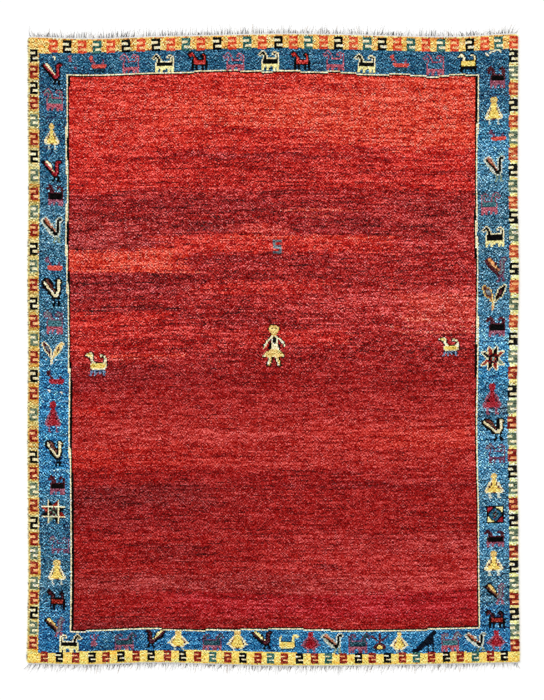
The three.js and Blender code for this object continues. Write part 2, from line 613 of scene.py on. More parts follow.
TOP_FIGURES = (
    Figure("plain goat", PLAIN_RED_GOAT, 46, 13, 16, 14),
    Figure("goat", PINK_GOAT, 72, 12, 17, 16),
    Figure("goat", BLACK_CREAM_GOAT, 98, 13, 19, 15),
    Figure("dark goat", RED_BLACK_GOAT, 126, 12, 18, 15),
    Figure("goat", PINK_GOAT, 155, 13, 18, 15),
    Figure("goat", BLACK_CREAM_GOAT, 183, 12, 18, 16),
    Figure("dark goat", RED_BLACK_GOAT, 208, 13, 18, 15),
    Figure("goat", PINK_GOAT, 235, 12, 18, 16),
    Figure("goat", BLACK_CREAM_GOAT, 260, 14, 18, 15),
    Figure("plain goat", PLAIN_RED_GOAT, 287, 14, 17, 14),
    Figure("goat", PINK_GOAT, 315, 13, 18, 17),
    Figure("goat", YELLOW_GOAT, 342, 12, 17, 16),
    Figure("chevrons", one_dye(Dye.CREAM), 365, 11, 13, 5),
    Figure("speck", one_dye(Dye.CREAM), 19, 14, 2, 3),
    Figure("speck", one_dye(Dye.ROSE), 31, 13, 3, 5),
    Figure("speck", one_dye(Dye.ROSE), 36, 22, 2, 2),
)

LEFT_FIGURES = (
    Figure("bird", RED_BIRD, 10, 19, 17, 18),
    Figure("goat", PINK_TEAL_GOAT, 11, 40, 17, 18),
    Figure("woman", YELLOW_WOMAN, 12, 68, 12, 21),
    Figure("bird", RED_BIRD, 10, 97, 16, 18),
    Figure("goat", BLACK_RED_GOAT, 13, 117, 15, 17),
    Figure("bird", BLACK_BIRD, 9, 143, 18, 21),
    Figure("plain goat", BARE_RED_GOAT, 11, 175, 16, 15),
    Figure("cream bird", CREAM_BIRD, 10, 192, 17, 23),
    Figure("goat", ROSE_GREY_GOAT, 11, 218, 17, 19),
    Figure("leaves", LEAVES, 10, 243, 18, 19),
    Figure("plain goat", BARE_DARK_GOAT, 12, 266, 16, 15),
    Figure("speck", one_dye(Dye.IVORY), 15, 282, 2, 2),
    Figure("speck", one_dye(Dye.IVORY), 25, 283, 2, 2),
    Figure("woman", RED_WOMAN, 13, 291, 13, 25),
    Figure("cream bird", CREAM_BIRD, 13, 322, 15, 21),
    Figure("goat", BLACK_RED_GOAT, 15, 350, 15, 16),
    Figure("cross star", STAR, 9, 370, 21, 19),
    Figure("goat", BARE_MAUVE_GOAT, 15, 399, 18, 14),
    Figure("woman", YELLOW_WOMAN, 15, 418, 14, 20),
    Figure("dark goat", DARK_RED_GOAT, 13, 442, 17, 16),
    Figure("bird", BROWN_BIRD, 12, 464, 17, 16),
)

RIGHT_FIGURES = (
    Figure("goat", BLACK_RED_GOAT, 366, 24, 16, 18),
    Figure("woman", YELLOW_WOMAN, 365, 49, 14, 22),
    Figure("plain goat", BARE_RED_GOAT, 366, 75, 16, 12),
    Figure("bird", BLACK_BIRD, 364, 96, 17, 21),
    Figure("goat", PINK_TEAL_GOAT, 361, 125, 17, 18, mirrored=True),
    Figure("goat", BLACK_CREAM_GOAT, 362, 152, 19, 17),
    Figure("bird", GREY_BIRD, 364, 177, 18, 20),
    Figure("leaves", DARK_LEAVES, 362, 199, 20, 21),
    Figure("goat", BLACK_RED_GOAT, 365, 224, 17, 17),
    Figure("star", STAR, 361, 248, 21, 20),
    Figure("woman", RED_WOMAN, 364, 278, 15, 25),
    Figure("cream bird", CREAM_BIRD, 363, 306, 19, 18),
    Figure("goat", BARE_MAUVE_GOAT, 366, 326, 17, 16),
    Figure("woman", YELLOW_WOMAN, 365, 350, 15, 20),
    Figure("diamond", DIAMOND, 366, 376, 14, 14),
    Figure("goat", BLACK_RED_GOAT, 363, 395, 18, 14),
    Figure("woman", YELLOW_WOMAN, 364, 412, 15, 20),
    Figure("bird", BROWN_BIRD, 364, 438, 17, 17),
    Figure("dark goat", DARK_RED_GOAT, 363, 459, 18, 15),
)

BOTTOM_FIGURES = (
    Figure("goat", BLACK_CREAM_GOAT, 24, 477, 19, 15, mirrored=True),
    Figure("plant", one_dye(Dye.ROSE), 49, 477, 7, 10),
    Figure("goat", WINE_TEAL_GOAT, 68, 477, 19, 14, mirrored=True),
    Figure("bird", WINE_BIRD, 93, 475, 17, 15, mirrored=True),
    Figure("short woman", YELLOW_WOMAN, 111, 476, 17, 15),
    Figure("goat", WINE_TEAL_GOAT, 138, 477, 19, 14, mirrored=True),
    Figure("short woman", YELLOW_WOMAN, 158, 475, 17, 16),
    Figure("bird", WINE_BIRD, 177, 474, 18, 15),
    Figure("low goat", LOW_GOAT, 199, 477, 17, 12),
    Figure("short woman", RED_WOMAN, 217, 475, 16, 16),
    Figure("bird", BLACK_BIRD, 233, 476, 18, 16),
    Figure("goat", WINE_TEAL_GOAT, 254, 476, 19, 16, mirrored=True),
    Figure("plant", PLANT, 273, 476, 14, 14),
    Figure("short woman", YELLOW_WOMAN, 288, 476, 15, 16),
    Figure("crow", one_dye(Dye.NAVY), 305, 475, 20, 17),
    Figure("goat", ROSE_GREY_GOAT, 328, 476, 18, 16, mirrored=True),
    Figure("bird", BLACK_BIRD, 347, 477, 18, 15),
    Figure("short woman", RED_WOMAN, 365, 476, 16, 15),
)

FIELD_FIGURES = (
    Figure("field goat", FIELD_GOAT, 44, 250, 19, 20),
    Figure("field woman", FIELD_WOMAN, 187, 230, 18, 34),
    Figure("field goat", FIELD_GOAT, 327, 239, 18, 16),
    Figure("hook", {"x": Dye.GREY}, 195, 163, 7, 11, mirrored=True),
)


@dataclass(frozen=True)
class HookRun:
    """A run of the guard stripe's hooks at one pitch.

    Args:
        first: where the first hook's middle lies, in knots along the edge.
        pitch: knots from one hook to the next.
        dyes: a letter of HOOK_DYES for each hook.
        mirrored: whether the hooks turn the other way.
    """

    first: float
    pitch: float
    dyes: str
    mirrored: bool = False

    def hooks(self) -> list[tuple[float, str]]:
        """The middle and the letter of each hook."""
        return [(self.first + index * self.pitch, letter) for index, letter in enumerate(self.dyes)]


HOOK_RUNS = {
    Edge.TOP: (
        HookRun(19.0, 11.68, "OKOTOK"),
        HookRun(89.0, 12.24, "OKOTOKOTOKOT"),
        HookRun(235.8, 11.66, "OKOTKOTOTOKOTO"),
    ),
    Edge.BOTTOM: (
        HookRun(12.6, 12.8, "RKRK"),
        HookRun(62.2, 12.08, "RKRKRKRTRKR"),
        HookRun(192.6, 11.68, "TRKRTRKRKRTRKRTRK"),
    ),
    Edge.LEFT: (
        HookRun(14.3, 12.64, "KRKR"),
        HookRun(66.1, 14.64, "MRKMRMRKMRKRMRK"),
        HookRun(285.3, 17.04, "RMRK"),
        HookRun(348.5, 13.44, "RMRKR"),
        HookRun(413.3, 12.0, "MRMRKMR"),
    ),
    Edge.RIGHT: (
        HookRun(17.0, 13.0, "KMEKEMEKME"),
        HookRun(145.7, 13.86, "KMEKEMEKMR", True),
        HookRun(284.5, 12.96, "KMRMRKMR"),
        HookRun(387.7, 12.56, "KMRKMRKMR"),
    ),
}

HOOK_GROUNDS = {"R": (248, 200, 118), "E": (248, 196, 116), "K": (250, 228, 160), "M": (240, 222, 150)}
SIDE_TINTS = {Edge.LEFT: (-34.0, -34.0, -35.0), Edge.RIGHT: (6.0, 28.0, 24.0)}
HOOK_SIZES = {Edge.TOP: (7, 10), Edge.BOTTOM: (6, 8), Edge.LEFT: (6, 10), Edge.RIGHT: (6, 10)}
HOOK_MARGINS = {Edge.TOP: 0.6, Edge.BOTTOM: 0.5, Edge.LEFT: 1.0, Edge.RIGHT: 0.0}

# Where the guard stripe meets the band, and the band the cream line, as places along the edge and in from it
GUARD_LINES = {
    Edge.TOP: (
        (0, 12.0), (18, 11.5), (30, 11.0), (57, 10.0), (97, 10.5), (121, 10.3), (153, 10.2), (177, 9.8),
        (195, 10.1), (241, 10.9), (281, 11.5), (329, 11.3), (361, 10.8), (390, 10.5),
    ),
    Edge.BOTTOM: (
        (0, 8.2), (21, 8.1), (37, 9.0), (45, 10.0), (57, 10.3), (97, 8.9), (137, 9.8), (169, 9.8),
        (193, 9.9), (225, 9.3), (241, 8.6), (257, 8.1), (293, 8.2), (345, 8.6), (370, 8.0), (390, 8.0),
    ),
    Edge.LEFT: ((0, 7.6), (100, 7.6), (220, 7.9), (330, 7.9), (420, 8.6), (501, 8.0)),
    Edge.RIGHT: ((0, 5.6), (60, 5.4), (160, 5.4), (240, 5.2), (330, 5.2), (440, 6.3), (501, 6.4)),
}
BAND_LINES = {
    Edge.TOP: (
        (28, 28.7), (50, 28.2), (62, 28.0), (81, 28.3), (117, 28.6), (137, 27.8), (161, 27.8), (177, 28.2),
        (191, 29.5), (201, 28.3), (226, 29.4), (246, 28.8), (258, 29.7), (266, 30.3), (282, 30.7),
        (294, 29.4), (302, 29.8), (314, 30.5), (323, 31.6), (330, 30.7), (338, 29.8), (360, 30.2),
    ),
    Edge.BOTTOM: (
        (33, 25.5), (49, 26.1), (57, 26.6), (77, 27.0), (97, 26.4), (115, 25.6), (129, 25.2), (145, 26.3),
        (169, 27.0), (185, 27.8), (205, 28.5), (225, 27.8), (237, 27.2), (249, 26.6), (289, 26.6),
        (305, 26.0), (313, 26.7), (329, 27.6), (360, 27.0),
    ),
    Edge.LEFT: (
        (30, 30.6), (62, 30.4), (86, 29.6), (120, 30.4), (158, 29.6), (182, 30.4), (206, 31.2), (254, 31.2),
        (278, 32.8), (326, 32.8), (350, 33.6), (474, 33.8),
    ),
    Edge.RIGHT: (
        (30, 30.6), (62, 30.6), (86, 31.4), (134, 31.4), (158, 32.2), (182, 31.4), (206, 31.4), (250, 30.8),
        (278, 30.5), (474, 30.4),
    ),
}

# How the guard stripe's lots of wool stray in red, green and blue, and what its rusty knots lose
GUARD_STRAY = np.array([3.0, -6.0, -13.0])
RUSTY_WOOL = np.array([0.84, 0.62, 0.5])

# Where the ends' band meets the sides' band, in rows
TOP_BAND_END = 31
BOTTOM_BAND_START = 472

# How many knots wide the cream line and the black line are
LINE_WIDTHS = {Edge.TOP: 1.0, Edge.BOTTOM: 1.0, Edge.LEFT: 1.3, Edge.RIGHT: 1.3}

# How far the light of the knots strays, in steps of 255 by row, in the guard stripe, the band and the field
GUARD_GRAIN = ((0, 24.0), (40, 26.0), (460, 24.0), (501, 16.0))
BAND_GRAIN = ((24, 30.0), (40, 38.0), (461, 38.0), (477, 30.0))
FIELD_GRAIN = ((0, 26.0), (250, 26.0), (275, 20.0), (501, 18.0))
CREAM_GRAIN = 20.0
DARK_GRAIN = 5.0
FIGURE_GRAIN = 18.0

# The field's lots of differently dyed wool: the row where each starts, and its dyes from left to right
FIELD_LOTS = (
    (0, (Red.POPPY, Red.POPPY, Red.SCARLET)),
    (46, (Red.POPPY, Red.SCARLET, Red.SCARLET)),
    (72, (Red.POPPY, Red.POPPY, Red.SCARLET)),
    (88, (Red.BRICK, Red.MADDER, Red.BRICK)),
    (122, (Red.GARNET, Red.GARNET, Red.MADDER)),
    (130, (Red.GARNET, Red.GARNET, Red.GARNET)),
    (142, (Red.RUBY, Red.GARNET, Red.RUBY)),
    (158, (Red.HEATHER, Red.MADDER, Red.RUBY)),
    (172, (Red.BLUSH, Red.GARNET, Red.RUBY)),
    (188, (Red.CLARET, Red.RUBY, Red.RUBY)),
    (204, (Red.GARNET, Red.RUBY, Red.BLUSH)),
    (220, (Red.MADDER, Red.GARNET, Red.BLUSH)),
    (234, (Red.MADDER, Red.RUBY, Red.GARNET)),
    (250, (Red.RUBY, Red.GARNET, Red.GARNET)),
    (262, (Red.CLARET, Red.GARNET, Red.GARNET)),
    (282, (Red.RUBY, Red.RUBY, Red.RUBY)),
    (306, (Red.RUBY, Red.RUBY, Red.MADDER)),
    (328, (Red.MADDER, Red.RUBY, Red.RUBY)),
    (346, (Red.GARNET, Red.GARNET, Red.RUBY)),
    (358, (Red.OXBLOOD, Red.GARNET, Red.GARNET)),
    (376, (Red.CLARET, Red.GARNET, Red.GARNET)),
    (396, (Red.GARNET, Red.GARNET, Red.HEATHER)),
    (412, (Red.GARNET, Red.GARNET, Red.RUBY)),
    (430, (Red.HEATHER, Red.HEATHER, Red.BLUSH)),
    (444, (Red.GARNET, Red.CARMINE, Red.CARMINE)),
    (464, (Red.OXBLOOD, Red.GARNET, Red.GARNET)),
)


@dataclass(frozen=True)
class Streak:
    """A patch of the ground in wool of another lot.

    Args:
        first: its first column; one at the ground's own side has a straight side there.
        last: the column past its last one.
        top: its first row.
        bottom: the row past its last one.
        dye: its dye.
        share: how much of it is in that dye, the rest being the ground's.
    """

    first: float
    last: float
    top: float
    bottom: float
    dye: Red | Blue
    share: float = 0.8


FIELD_STREAKS = (
    Streak(177, 400, 48, 80, Red.SCARLET, 0.6),
    Streak(169, 221, 73, 90, Red.BRICK),
    Streak(112, 221, 93, 98, Red.CLARET),
    Streak(217, 275, 94, 97, Red.GARNET),
    Streak(262, 283, 89, 94, Red.GARNET),
    Streak(193, 236, 110, 114, Red.GARNET),
    Streak(236, 400, 108, 111, Red.RUBY),
    Streak(-40, 400, 124, 130, Red.GARNET),
    Streak(89, 186, 129, 142, Red.CLARET),
    Streak(-40, 66, 129, 136, Red.CLARET),
    Streak(-40, 118, 143, 167, Red.HEATHER),
    Streak(119, 178, 147, 156, Red.OXBLOOD),
    Streak(209, 286, 142, 159, Red.CLARET),
    Streak(204, 250, 138, 140, Red.BLOSSOM, 0.6),
    Streak(212, 246, 143, 145, Red.BLOSSOM, 0.5),
    Streak(165, 210, 150, 157, Red.CORAL, 0.7),
    Streak(286, 400, 129, 162, Red.HEATHER, 0.5),
    Streak(106, 289, 159, 173, Red.POPPY),
    Streak(150, 280, 160, 163, Red.SCARLET),
    Streak(-40, 121, 170, 188, Red.SCARLET, 0.95),
    Streak(286, 400, 162, 167, Red.BLUSH),
    Streak(133, 250, 174, 180, Red.CLARET),
    Streak(137, 400, 180, 196, Red.GARNET, 0.6),
    Streak(-40, 110, 188, 209, Red.CLARET),
    Streak(137, 241, 196, 205, Red.POPPY, 0.7),
    Streak(249, 400, 199, 214, Red.BLUSH),
    Streak(297, 400, 204, 228, Red.CORAL),
    Streak(-40, 121, 216, 219, Red.BLOOD, 0.9),
    Streak(-40, 112, 220, 231, Red.BRICK),
    Streak(109, 141, 222, 228, Red.CLARET),
    Streak(145, 210, 222, 234, Red.CLARET, 0.7),
    Streak(177, 254, 234, 246, Red.BRICK),
    Streak(300, 400, 226, 227, Red.BLOSSOM),
    Streak(284, 400, 231, 232, Red.BLOSSOM),
    Streak(292, 400, 235, 237, Red.BLOSSOM, 0.6),
    Streak(310, 400, 240, 241, Red.BLOSSOM),
    Streak(-40, 98, 233, 250, Red.MADDER),
    Streak(57, 124, 254, 256, Red.SCARLET, 0.9),
    Streak(70, 110, 257, 258, Red.BLOSSOM, 0.6),
    Streak(-40, 66, 295, 302, Red.BRICK, 0.7),
    Streak(65, 209, 314, 323, Red.BLUSH),
    Streak(209, 400, 306, 313, Red.BLUSH),
    Streak(293, 400, 314, 327, Red.CORAL, 0.5),
    Streak(-40, 58, 328, 333, Red.BRICK),
    Streak(57, 185, 334, 337, Red.GARNET),
    Streak(201, 400, 356, 361, Red.CLARET),
    Streak(-40, 146, 358, 375, Red.OXBLOOD, 0.7),
    Streak(89, 138, 406, 422, Red.OXBLOOD, 0.6),
    Streak(190, 400, 398, 430, Red.BLUSH, 0.5),
    Streak(230, 246, 420, 426, Red.BLOOD, 0.7),
    Streak(120, 400, 446, 458, Red.CARMINE, 0.9),
    Streak(-40, 400, 304, 344, Red.CORAL, 0.25),
)

BAND_STREAKS = (
    Streak(8, 31, 257, 258, Blue.PALE, 0.7),
    Streak(8, 31, 290, 292, Blue.PALE, 0.5),
    Streak(20, 34, 317, 319, Blue.DUSK, 0.5),
    Streak(10, 31, 345, 347, Blue.PALE, 0.5),
    Streak(-40, 21, 370, 371, Blue.DUSK, 0.9),
    Streak(372, 390, 295, 303, Blue.DUSK, 0.5),
    Streak(372, 390, 297, 300, Blue.PALE, 0.5),
    Streak(-40, 60, 468, 501, Blue.INDIGO, 0.9),
    Streak(340, 400, 455, 501, Blue.INDIGO),
)

# The band's lots of blue, as places along each edge from its left or top end
BAND_LOTS = {
    Edge.TOP: ((0, Blue.SEA), (390, Blue.SEA)),
    Edge.BOTTOM: (
        (0, Blue.INDIGO), (60, Blue.SEA), (100, Blue.INDIGO), (140, Blue.INDIGO),
        (220, Blue.DENIM), (390, Blue.DENIM),
    ),
    Edge.LEFT: (
        (0, Blue.SEA), (100, Blue.SEA), (130, Blue.STONE), (170, Blue.STONE), (190, Blue.SEA),
        (240, Blue.STONE), (270, Blue.DENIM), (350, Blue.DENIM), (375, Blue.STONE), (390, Blue.SEA),
        (440, Blue.STONE), (470, Blue.INDIGO), (501, Blue.INDIGO),
    ),
    Edge.RIGHT: (
        (0, Blue.SEA), (60, Blue.SEA), (90, Blue.SKY), (130, Blue.STONE), (200, Blue.STONE),
        (240, Blue.SKY), (265, Blue.DENIM), (300, Blue.STONE), (322, Blue.SKY),
        (345, Blue.SKY), (365, Blue.STONE), (400, Blue.SKY), (430, Blue.STONE), (484, Blue.STONE),
        (501, Blue.DENIM),
    ),
}


def smooth_value(values: tuple[float, ...], share: np.ndarray) -> np.ndarray:
    """Reads a smooth curve through evenly spaced values.

    Args:
        values: the values, at even steps.
        share: how far along them to read, from 0 to 1.

    Returns:
        The smooth value at each share.
    """
    points = np.asarray(values)
    last = len(points) - 1
    place = np.clip(share, 0.0, 1.0) * last
    start = np.floor(place).astype(int)
    part = place - start
    before = points[np.maximum(start - 1, 0)]
    here = points[np.minimum(start, last)]
    after = points[np.minimum(start + 1, last)]
    beyond = points[np.minimum(start + 2, last)]
    leaving = (after - before) / 2
    arriving = (beyond - here) / 2
    cubic = (2 * here - 2 * after + leaving + arriving) * part**3
    square = (3 * after - 3 * here - 2 * leaving - arriving) * part**2
    return cubic + square + leaving * part + here


def steps_between(table: tuple[tuple[float, float], ...], places: np.ndarray) -> np.ndarray:
    """Reads a table of places and values in straight lines between its rows."""
    known, values = zip(*table)
    return np.interp(places, known, values)


def linear_light(dyes: np.ndarray) -> np.ndarray:
    """Turns display colours from 0 to 255 into linear ones from 0 to 1."""
    share = np.clip(dyes / 255.0, 0.0, 1.0)
    return np.where(share <= 0.04045, share / 12.92, ((share + 0.055) / 1.055) ** 2.4)


@dataclass(frozen=True)
class RugPlan:
    """The rug's outline and its lattice of knots.

    Args:
        width: the pile's width before its edges stray.
        length: the pile's length before its ends stray.
        columns: knots across.
        rows: knots along.
        left_stray: how far the left edge strays outwards, from the bottom end to the top end.
        right_stray: the same for the right edge.
        top_stray: how far the top end strays outwards, from the left side to the right side.
        bottom_stray: the same for the bottom end.
        edge_step: the spacing of the frame's outline points.
    """

    width: float = 1560 * MM
    length: float = 2004 * MM
    columns: int = 390
    rows: int = 501
    left_stray: tuple[float, ...] = (1.1, -3.4, -2.4, -1.1, -3.4, -1.4, -4.3, -2.7, -2.4)
    right_stray: tuple[float, ...] = (7.8, 4.0, 1.8, -3.0, 0.5, 4.3, 0.8, 1.8, 2.7)
    top_stray: tuple[float, ...] = (-3.5, -9.3, -2.9, 1.6, 6.1, 4.8, -0.3, -2.9, 6.7)
    bottom_stray: tuple[float, ...] = (-1.9, 1.6, -5.1, -0.6, 4.5, 4.5, 2.2, -1.3, -4.8)
    edge_step: float = 41 * MM

    def side_x(self, side: int, y: np.ndarray) -> np.ndarray:
        """The X of a long edge at a Y, where side is -1 for the left edge and 1 for the right one."""
        stray = self.left_stray if side < 0 else self.right_stray
        return side * (self.width / 2 + MM * smooth_value(stray, np.asarray(y) / self.length + 0.5))

    def end_y(self, end: int, x: np.ndarray) -> np.ndarray:
        """The Y of a short edge at an X, where end is -1 for the bottom end and 1 for the top one."""
        stray = self.bottom_stray if end < 0 else self.top_stray
        return end * (self.length / 2 + MM * smooth_value(stray, np.asarray(x) / self.width + 0.5))

    def corner(self, side: int, end: int) -> np.ndarray:
        """Where a long edge meets a short one."""
        y = self.end_y(end, side * self.width / 2)
        return np.array([float(self.side_x(side, y)), float(y)])

    def side_points(self, side: int, share: np.ndarray) -> np.ndarray:
        """Points along a long edge, for shares from the bottom end to the top end."""
        low = self.corner(side, -1)[1]
        high = self.corner(side, 1)[1]
        y = low + (high - low) * share
        return np.stack([self.side_x(side, y), y], axis=-1)

    def end_points(self, end: int, share: np.ndarray) -> np.ndarray:
        """Points along a short edge, for shares from the left side to the right side."""
        left = self.corner(-1, end)[0]
        right = self.corner(1, end)[0]
        x = left + (right - left) * share
        return np.stack([x, self.end_y(end, x)], axis=-1)

    def shift(self) -> np.ndarray:
        """How far the plan is moved so that it lies where the frame's body does."""
        across = np.linspace(0.0, 1.0, round(self.width / self.edge_step) + 1)
        along = np.linspace(0.0, 1.0, round(self.length / self.edge_step) + 1)
        raw = np.array([self.side_points(-1, along)[:, 0].min(), self.end_points(-1, across)[:, 1].min()])
        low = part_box("rug_body")[0]
        return np.array([low[0], low[1]]) - raw

    def place(self, column: np.ndarray, row: np.ndarray) -> np.ndarray:
        """Where a point of the knot lattice lies on the floor.

        Args:
            column: knots from the left edge.
            row: knots from the top end.

        Returns:
            X and Y for each point, in an array with one more axis.
        """
        u = np.asarray(column, dtype=float) / self.columns
        v = 1.0 - np.asarray(row, dtype=float) / self.rows
        u, v = np.broadcast_arrays(u, v)
        sides = (1 - u)[..., None] * self.side_points(-1, v) + u[..., None] * self.side_points(1, v)
        ends = (1 - v)[..., None] * self.end_points(-1, u) + v[..., None] * self.end_points(1, u)
        low = (1 - u)[..., None] * self.corner(-1, -1) + u[..., None] * self.corner(1, -1)
        high = (1 - u)[..., None] * self.corner(-1, 1) + u[..., None] * self.corner(1, 1)
        return sides + ends - ((1 - v)[..., None] * low + v[..., None] * high) + self.shift()


def row_noise(rng: Generator, rows: int, columns: int, reaches: dict[int, float]) -> np.ndarray:
    """Makes uneven values that run on along each row, as a strand of hand-spun wool does.

    Args:
        rng: the source of the uneven values.
        rows: how many rows.
        columns: how many columns.
        reaches: the weight of each run length, in knots.

    Returns:
        An array with a mean near 0 and a spread of 1.
    """
    total = np.zeros((rows, columns))
    for reach, weight in reaches.items():
        noise = rng.standard_normal((rows, columns + reach))
        sums = np.cumsum(noise, axis=1)
        run = (sums[:, reach:] - sums[:, :-reach]) / math.sqrt(reach)
        total += weight * run[:, :columns]
    return total / total.std()


@dataclass
class Weaver:
    """Works out the dye of every knot: the grounds, the lines, the hooks and the figures.

    Args:
        plan: the rug's plan.
        seed: the seed of the wool's unevenness.
        light_gain: how much uneven knots brighten from afar, which the dyes are darkened by.
        light_scale: how far the light strays for each step of the grain.
        hue_scale: the same for the hue, which strays between red and blue.
        darkest: the darkest that a knot's light may stray, in its spreads.
        brightest: the brightest.
        field_runs: how much of the field's light runs on along its rows.
        border_runs: the same for the borders.
        thin_streak: how many rows a streak has past which its edges waver more.
        raggedness: how far a streak's ends differ from row to row, in knots.
        strays: how many of a streak's knots are mostly in the ground's dye.
    """

    plan: RugPlan
    seed: int = 11
    light_gain: float = 0.4
    light_scale: float = 1.15
    hue_scale: float = 0.12
    darkest: float = -4.2
    brightest: float = 3.1
    field_runs: float = 1.05
    border_runs: float = 0.5
    thin_streak: float = 3.0
    raggedness: float = 7.0
    strays: float = 0.1
    dyes: np.ndarray = field(init=False)
    grain: np.ndarray = field(init=False)

    def __post_init__(self) -> None:
        """Lays out the empty grids."""
        self.rng = np.random.default_rng(self.seed)
        self.row, self.column = np.mgrid[0 : self.plan.rows, 0 : self.plan.columns]
        self.dyes = np.zeros((*self.row.shape, 3))
        self.grain = np.zeros(self.row.shape)

    def weave(self) -> tuple[np.ndarray, np.ndarray]:
        """Knots the whole pattern.

        Returns:
            Display colours from 0 to 255, and how far their light strays, by row and column.
        """
        self.lay_grounds()
        for edge in Edge:
            self.knot_hooks(edge)
        for figure in TOP_FIGURES + LEFT_FIGURES + RIGHT_FIGURES + BOTTOM_FIGURES + FIELD_FIGURES:
            self.knot_figure(figure)
        self.spin_unevenly()
        return self.dyes, self.grain

    def depths(self, edge: Edge) -> tuple[np.ndarray, np.ndarray]:
        """How far each knot lies along an edge, and how far in from it, in knots."""
        row, column = self.row + 0.5, self.column + 0.5
        if edge is Edge.TOP:
            return column, row
        if edge is Edge.BOTTOM:
            return column, self.plan.rows - row
        if edge is Edge.LEFT:
            return row, column
        return row, self.plan.columns - column

    def inside(self, lines: dict[Edge, tuple[tuple[float, float], ...]], widths: float = 0.0) -> np.ndarray:
        """Which knots lie inside a frame of four uneven lines, past a number of line widths."""
        mask = np.ones(self.grain.shape, dtype=bool)
        for edge, table in lines.items():
            along, inwards = self.depths(edge)
            mask &= inwards > steps_between(table, along) + widths * LINE_WIDTHS[edge]
        return mask

    def lay_grounds(self) -> None:
        """Knots the guard stripe, the band, its two lines and the field."""
        self.dyes[:] = self.guard_colours()
        self.grain[:] = steps_between(GUARD_GRAIN, self.row)
        for inside, colours, grain in (
            (self.inside(GUARD_LINES), self.band_colours(), steps_between(BAND_GRAIN, self.row)),
            (self.inside(BAND_LINES, -0.5), np.array(Dye.CREAM.value), CREAM_GRAIN),
            (self.inside(BAND_LINES, 0.5), np.array(Dye.BLACK.value), DARK_GRAIN),
            (self.inside(BAND_LINES, 1.5), self.field_colours(), steps_between(FIELD_GRAIN, self.row)),
        ):
            self.dyes[inside] = np.broadcast_to(colours, self.dyes.shape)[inside]
            self.grain[inside] = np.broadcast_to(grain, self.grain.shape)[inside]

    def guard_colours(self) -> np.ndarray:
        """The guard stripe's yellows, more orange at the top and in their own shade round each side hook."""
        top = np.clip(1.6 - self.row / 40.0, 0.0, 1.0)[..., None]
        colours = np.array(Yellow.HONEY.value) * (1 - top) + np.array(Yellow.AMBER.value) * top
        for edge in (Edge.LEFT, Edge.RIGHT):
            along, inwards = self.depths(edge)
            stripe = (inwards < 9) & (self.row > 10) & (self.row < self.plan.rows - 8)
            for run in HOOK_RUNS[edge]:
                for middle, letter in run.hooks():
                    block = stripe & (np.abs(along - middle) < run.pitch / 2)
                    colours[block] = np.array(HOOK_GROUNDS[letter]) + SIDE_TINTS[edge]
        lots = row_noise(self.rng, *self.row.shape, {6: 1.0})[..., None]
        colours = colours + lots * GUARD_STRAY
        rusty = self.rng.random(self.row.shape) < 0.015 + 0.10 * top[..., 0]
        colours[rusty] = colours[rusty] * RUSTY_WOOL
        return colours

    def lots_across(self, edge: Edge) -> np.ndarray:
        """The band's blue at each knot, read along one edge."""
        along = self.depths(edge)[0]
        places, dyes = zip(*BAND_LOTS[edge])
        channels = zip(*(dye.value for dye in dyes))
        return np.stack([np.interp(along, places, channel) for channel in channels], axis=-1)

    def band_colours(self) -> np.ndarray:
        """The band's blues, with the ends over the sides at the corners."""
        left_half = (self.column < self.plan.columns / 2)[..., None]
        colours = np.where(left_half, self.lots_across(Edge.LEFT), self.lots_across(Edge.RIGHT))
        colours = np.where((self.row < TOP_BAND_END)[..., None], self.lots_across(Edge.TOP), colours)
        colours = np.where((self.row > BOTTOM_BAND_START)[..., None], self.lots_across(Edge.BOTTOM), colours)
        for streak in BAND_STREAKS:
            self.lay_streak(colours, streak)
        return colours

    def field_colours(self) -> np.ndarray:
        """The field's reds, in streaks that start and stop unevenly."""
        rows, columns = self.plan.rows, self.plan.columns
        starts, lot_dyes = zip(*FIELD_LOTS)
        lots = np.array([[dye.value for dye in dyes] for dyes in lot_dyes], dtype=float)
        margin = 60
        waver = row_noise(self.rng, rows, columns, {60: 1.0}) * 2.2
        lot = np.clip(np.searchsorted(starts, self.row + waver, side="right") - 1, 0, len(starts) - 1)
        across = np.clip((self.column - margin) / (columns - 2 * margin), 0.0, 1.0) * 2.0
        left = np.clip(np.floor(across), 0, 1).astype(int)
        part = (across - left)[..., None]
        colours = lots[lot, left] * (1 - part) + lots[lot, left + 1] * part
        for streak in FIELD_STREAKS:
            self.lay_streak(colours, streak)
        passes = self.rng.standard_normal((rows, 1, 1)) * 3.0
        return colours + passes

    def lay_streak(self, colours: np.ndarray, streak: Streak) -> None:
        """Lays one streak over a ground, with ends that differ from row to row.

        Args:
            colours: the ground's display colours, changed in place.
            streak: the streak.
        """
        thin = streak.bottom - streak.top < self.thin_streak
        waver = row_noise(self.rng, *self.row.shape, {40: 1.0}) * (0.25 if thin else 1.1)
        row = self.row + 0.5 + waver
        column = self.column + 0.5
        ragged = self.rng.standard_normal((self.plan.rows, 2)) * self.raggedness
        mask = (row > streak.top) & (row < streak.bottom)
        mask &= (column > streak.first + ragged[:, :1]) & (column < streak.last + ragged[:, 1:])
        share = np.where(self.rng.random(mask.shape) < self.strays, 0.2, streak.share)[mask][:, None]
        colours[mask] = colours[mask] * (1 - share) + np.array(streak.dye.value) * share

    def knot_hooks(self, edge: Edge) -> None:
        """Knots one edge's hooks in the guard stripe."""
        wide, tall = HOOK_SIZES[edge]
        margin = HOOK_MARGINS[edge]
        for run in HOOK_RUNS[edge]:
            for along, letter in run.hooks():
                if edge is Edge.TOP:
                    column, row = along - wide / 2, margin
                elif edge is Edge.BOTTOM:
                    column, row = along - wide / 2, self.plan.rows - margin - tall
                elif edge is Edge.LEFT:
                    column, row = margin, along - tall / 2
                else:
                    column, row = self.plan.columns - margin - wide, along - tall / 2
                self.knot_figure(Figure("hook", HOOK_DYES[letter], column, row, wide, tall, run.mirrored))

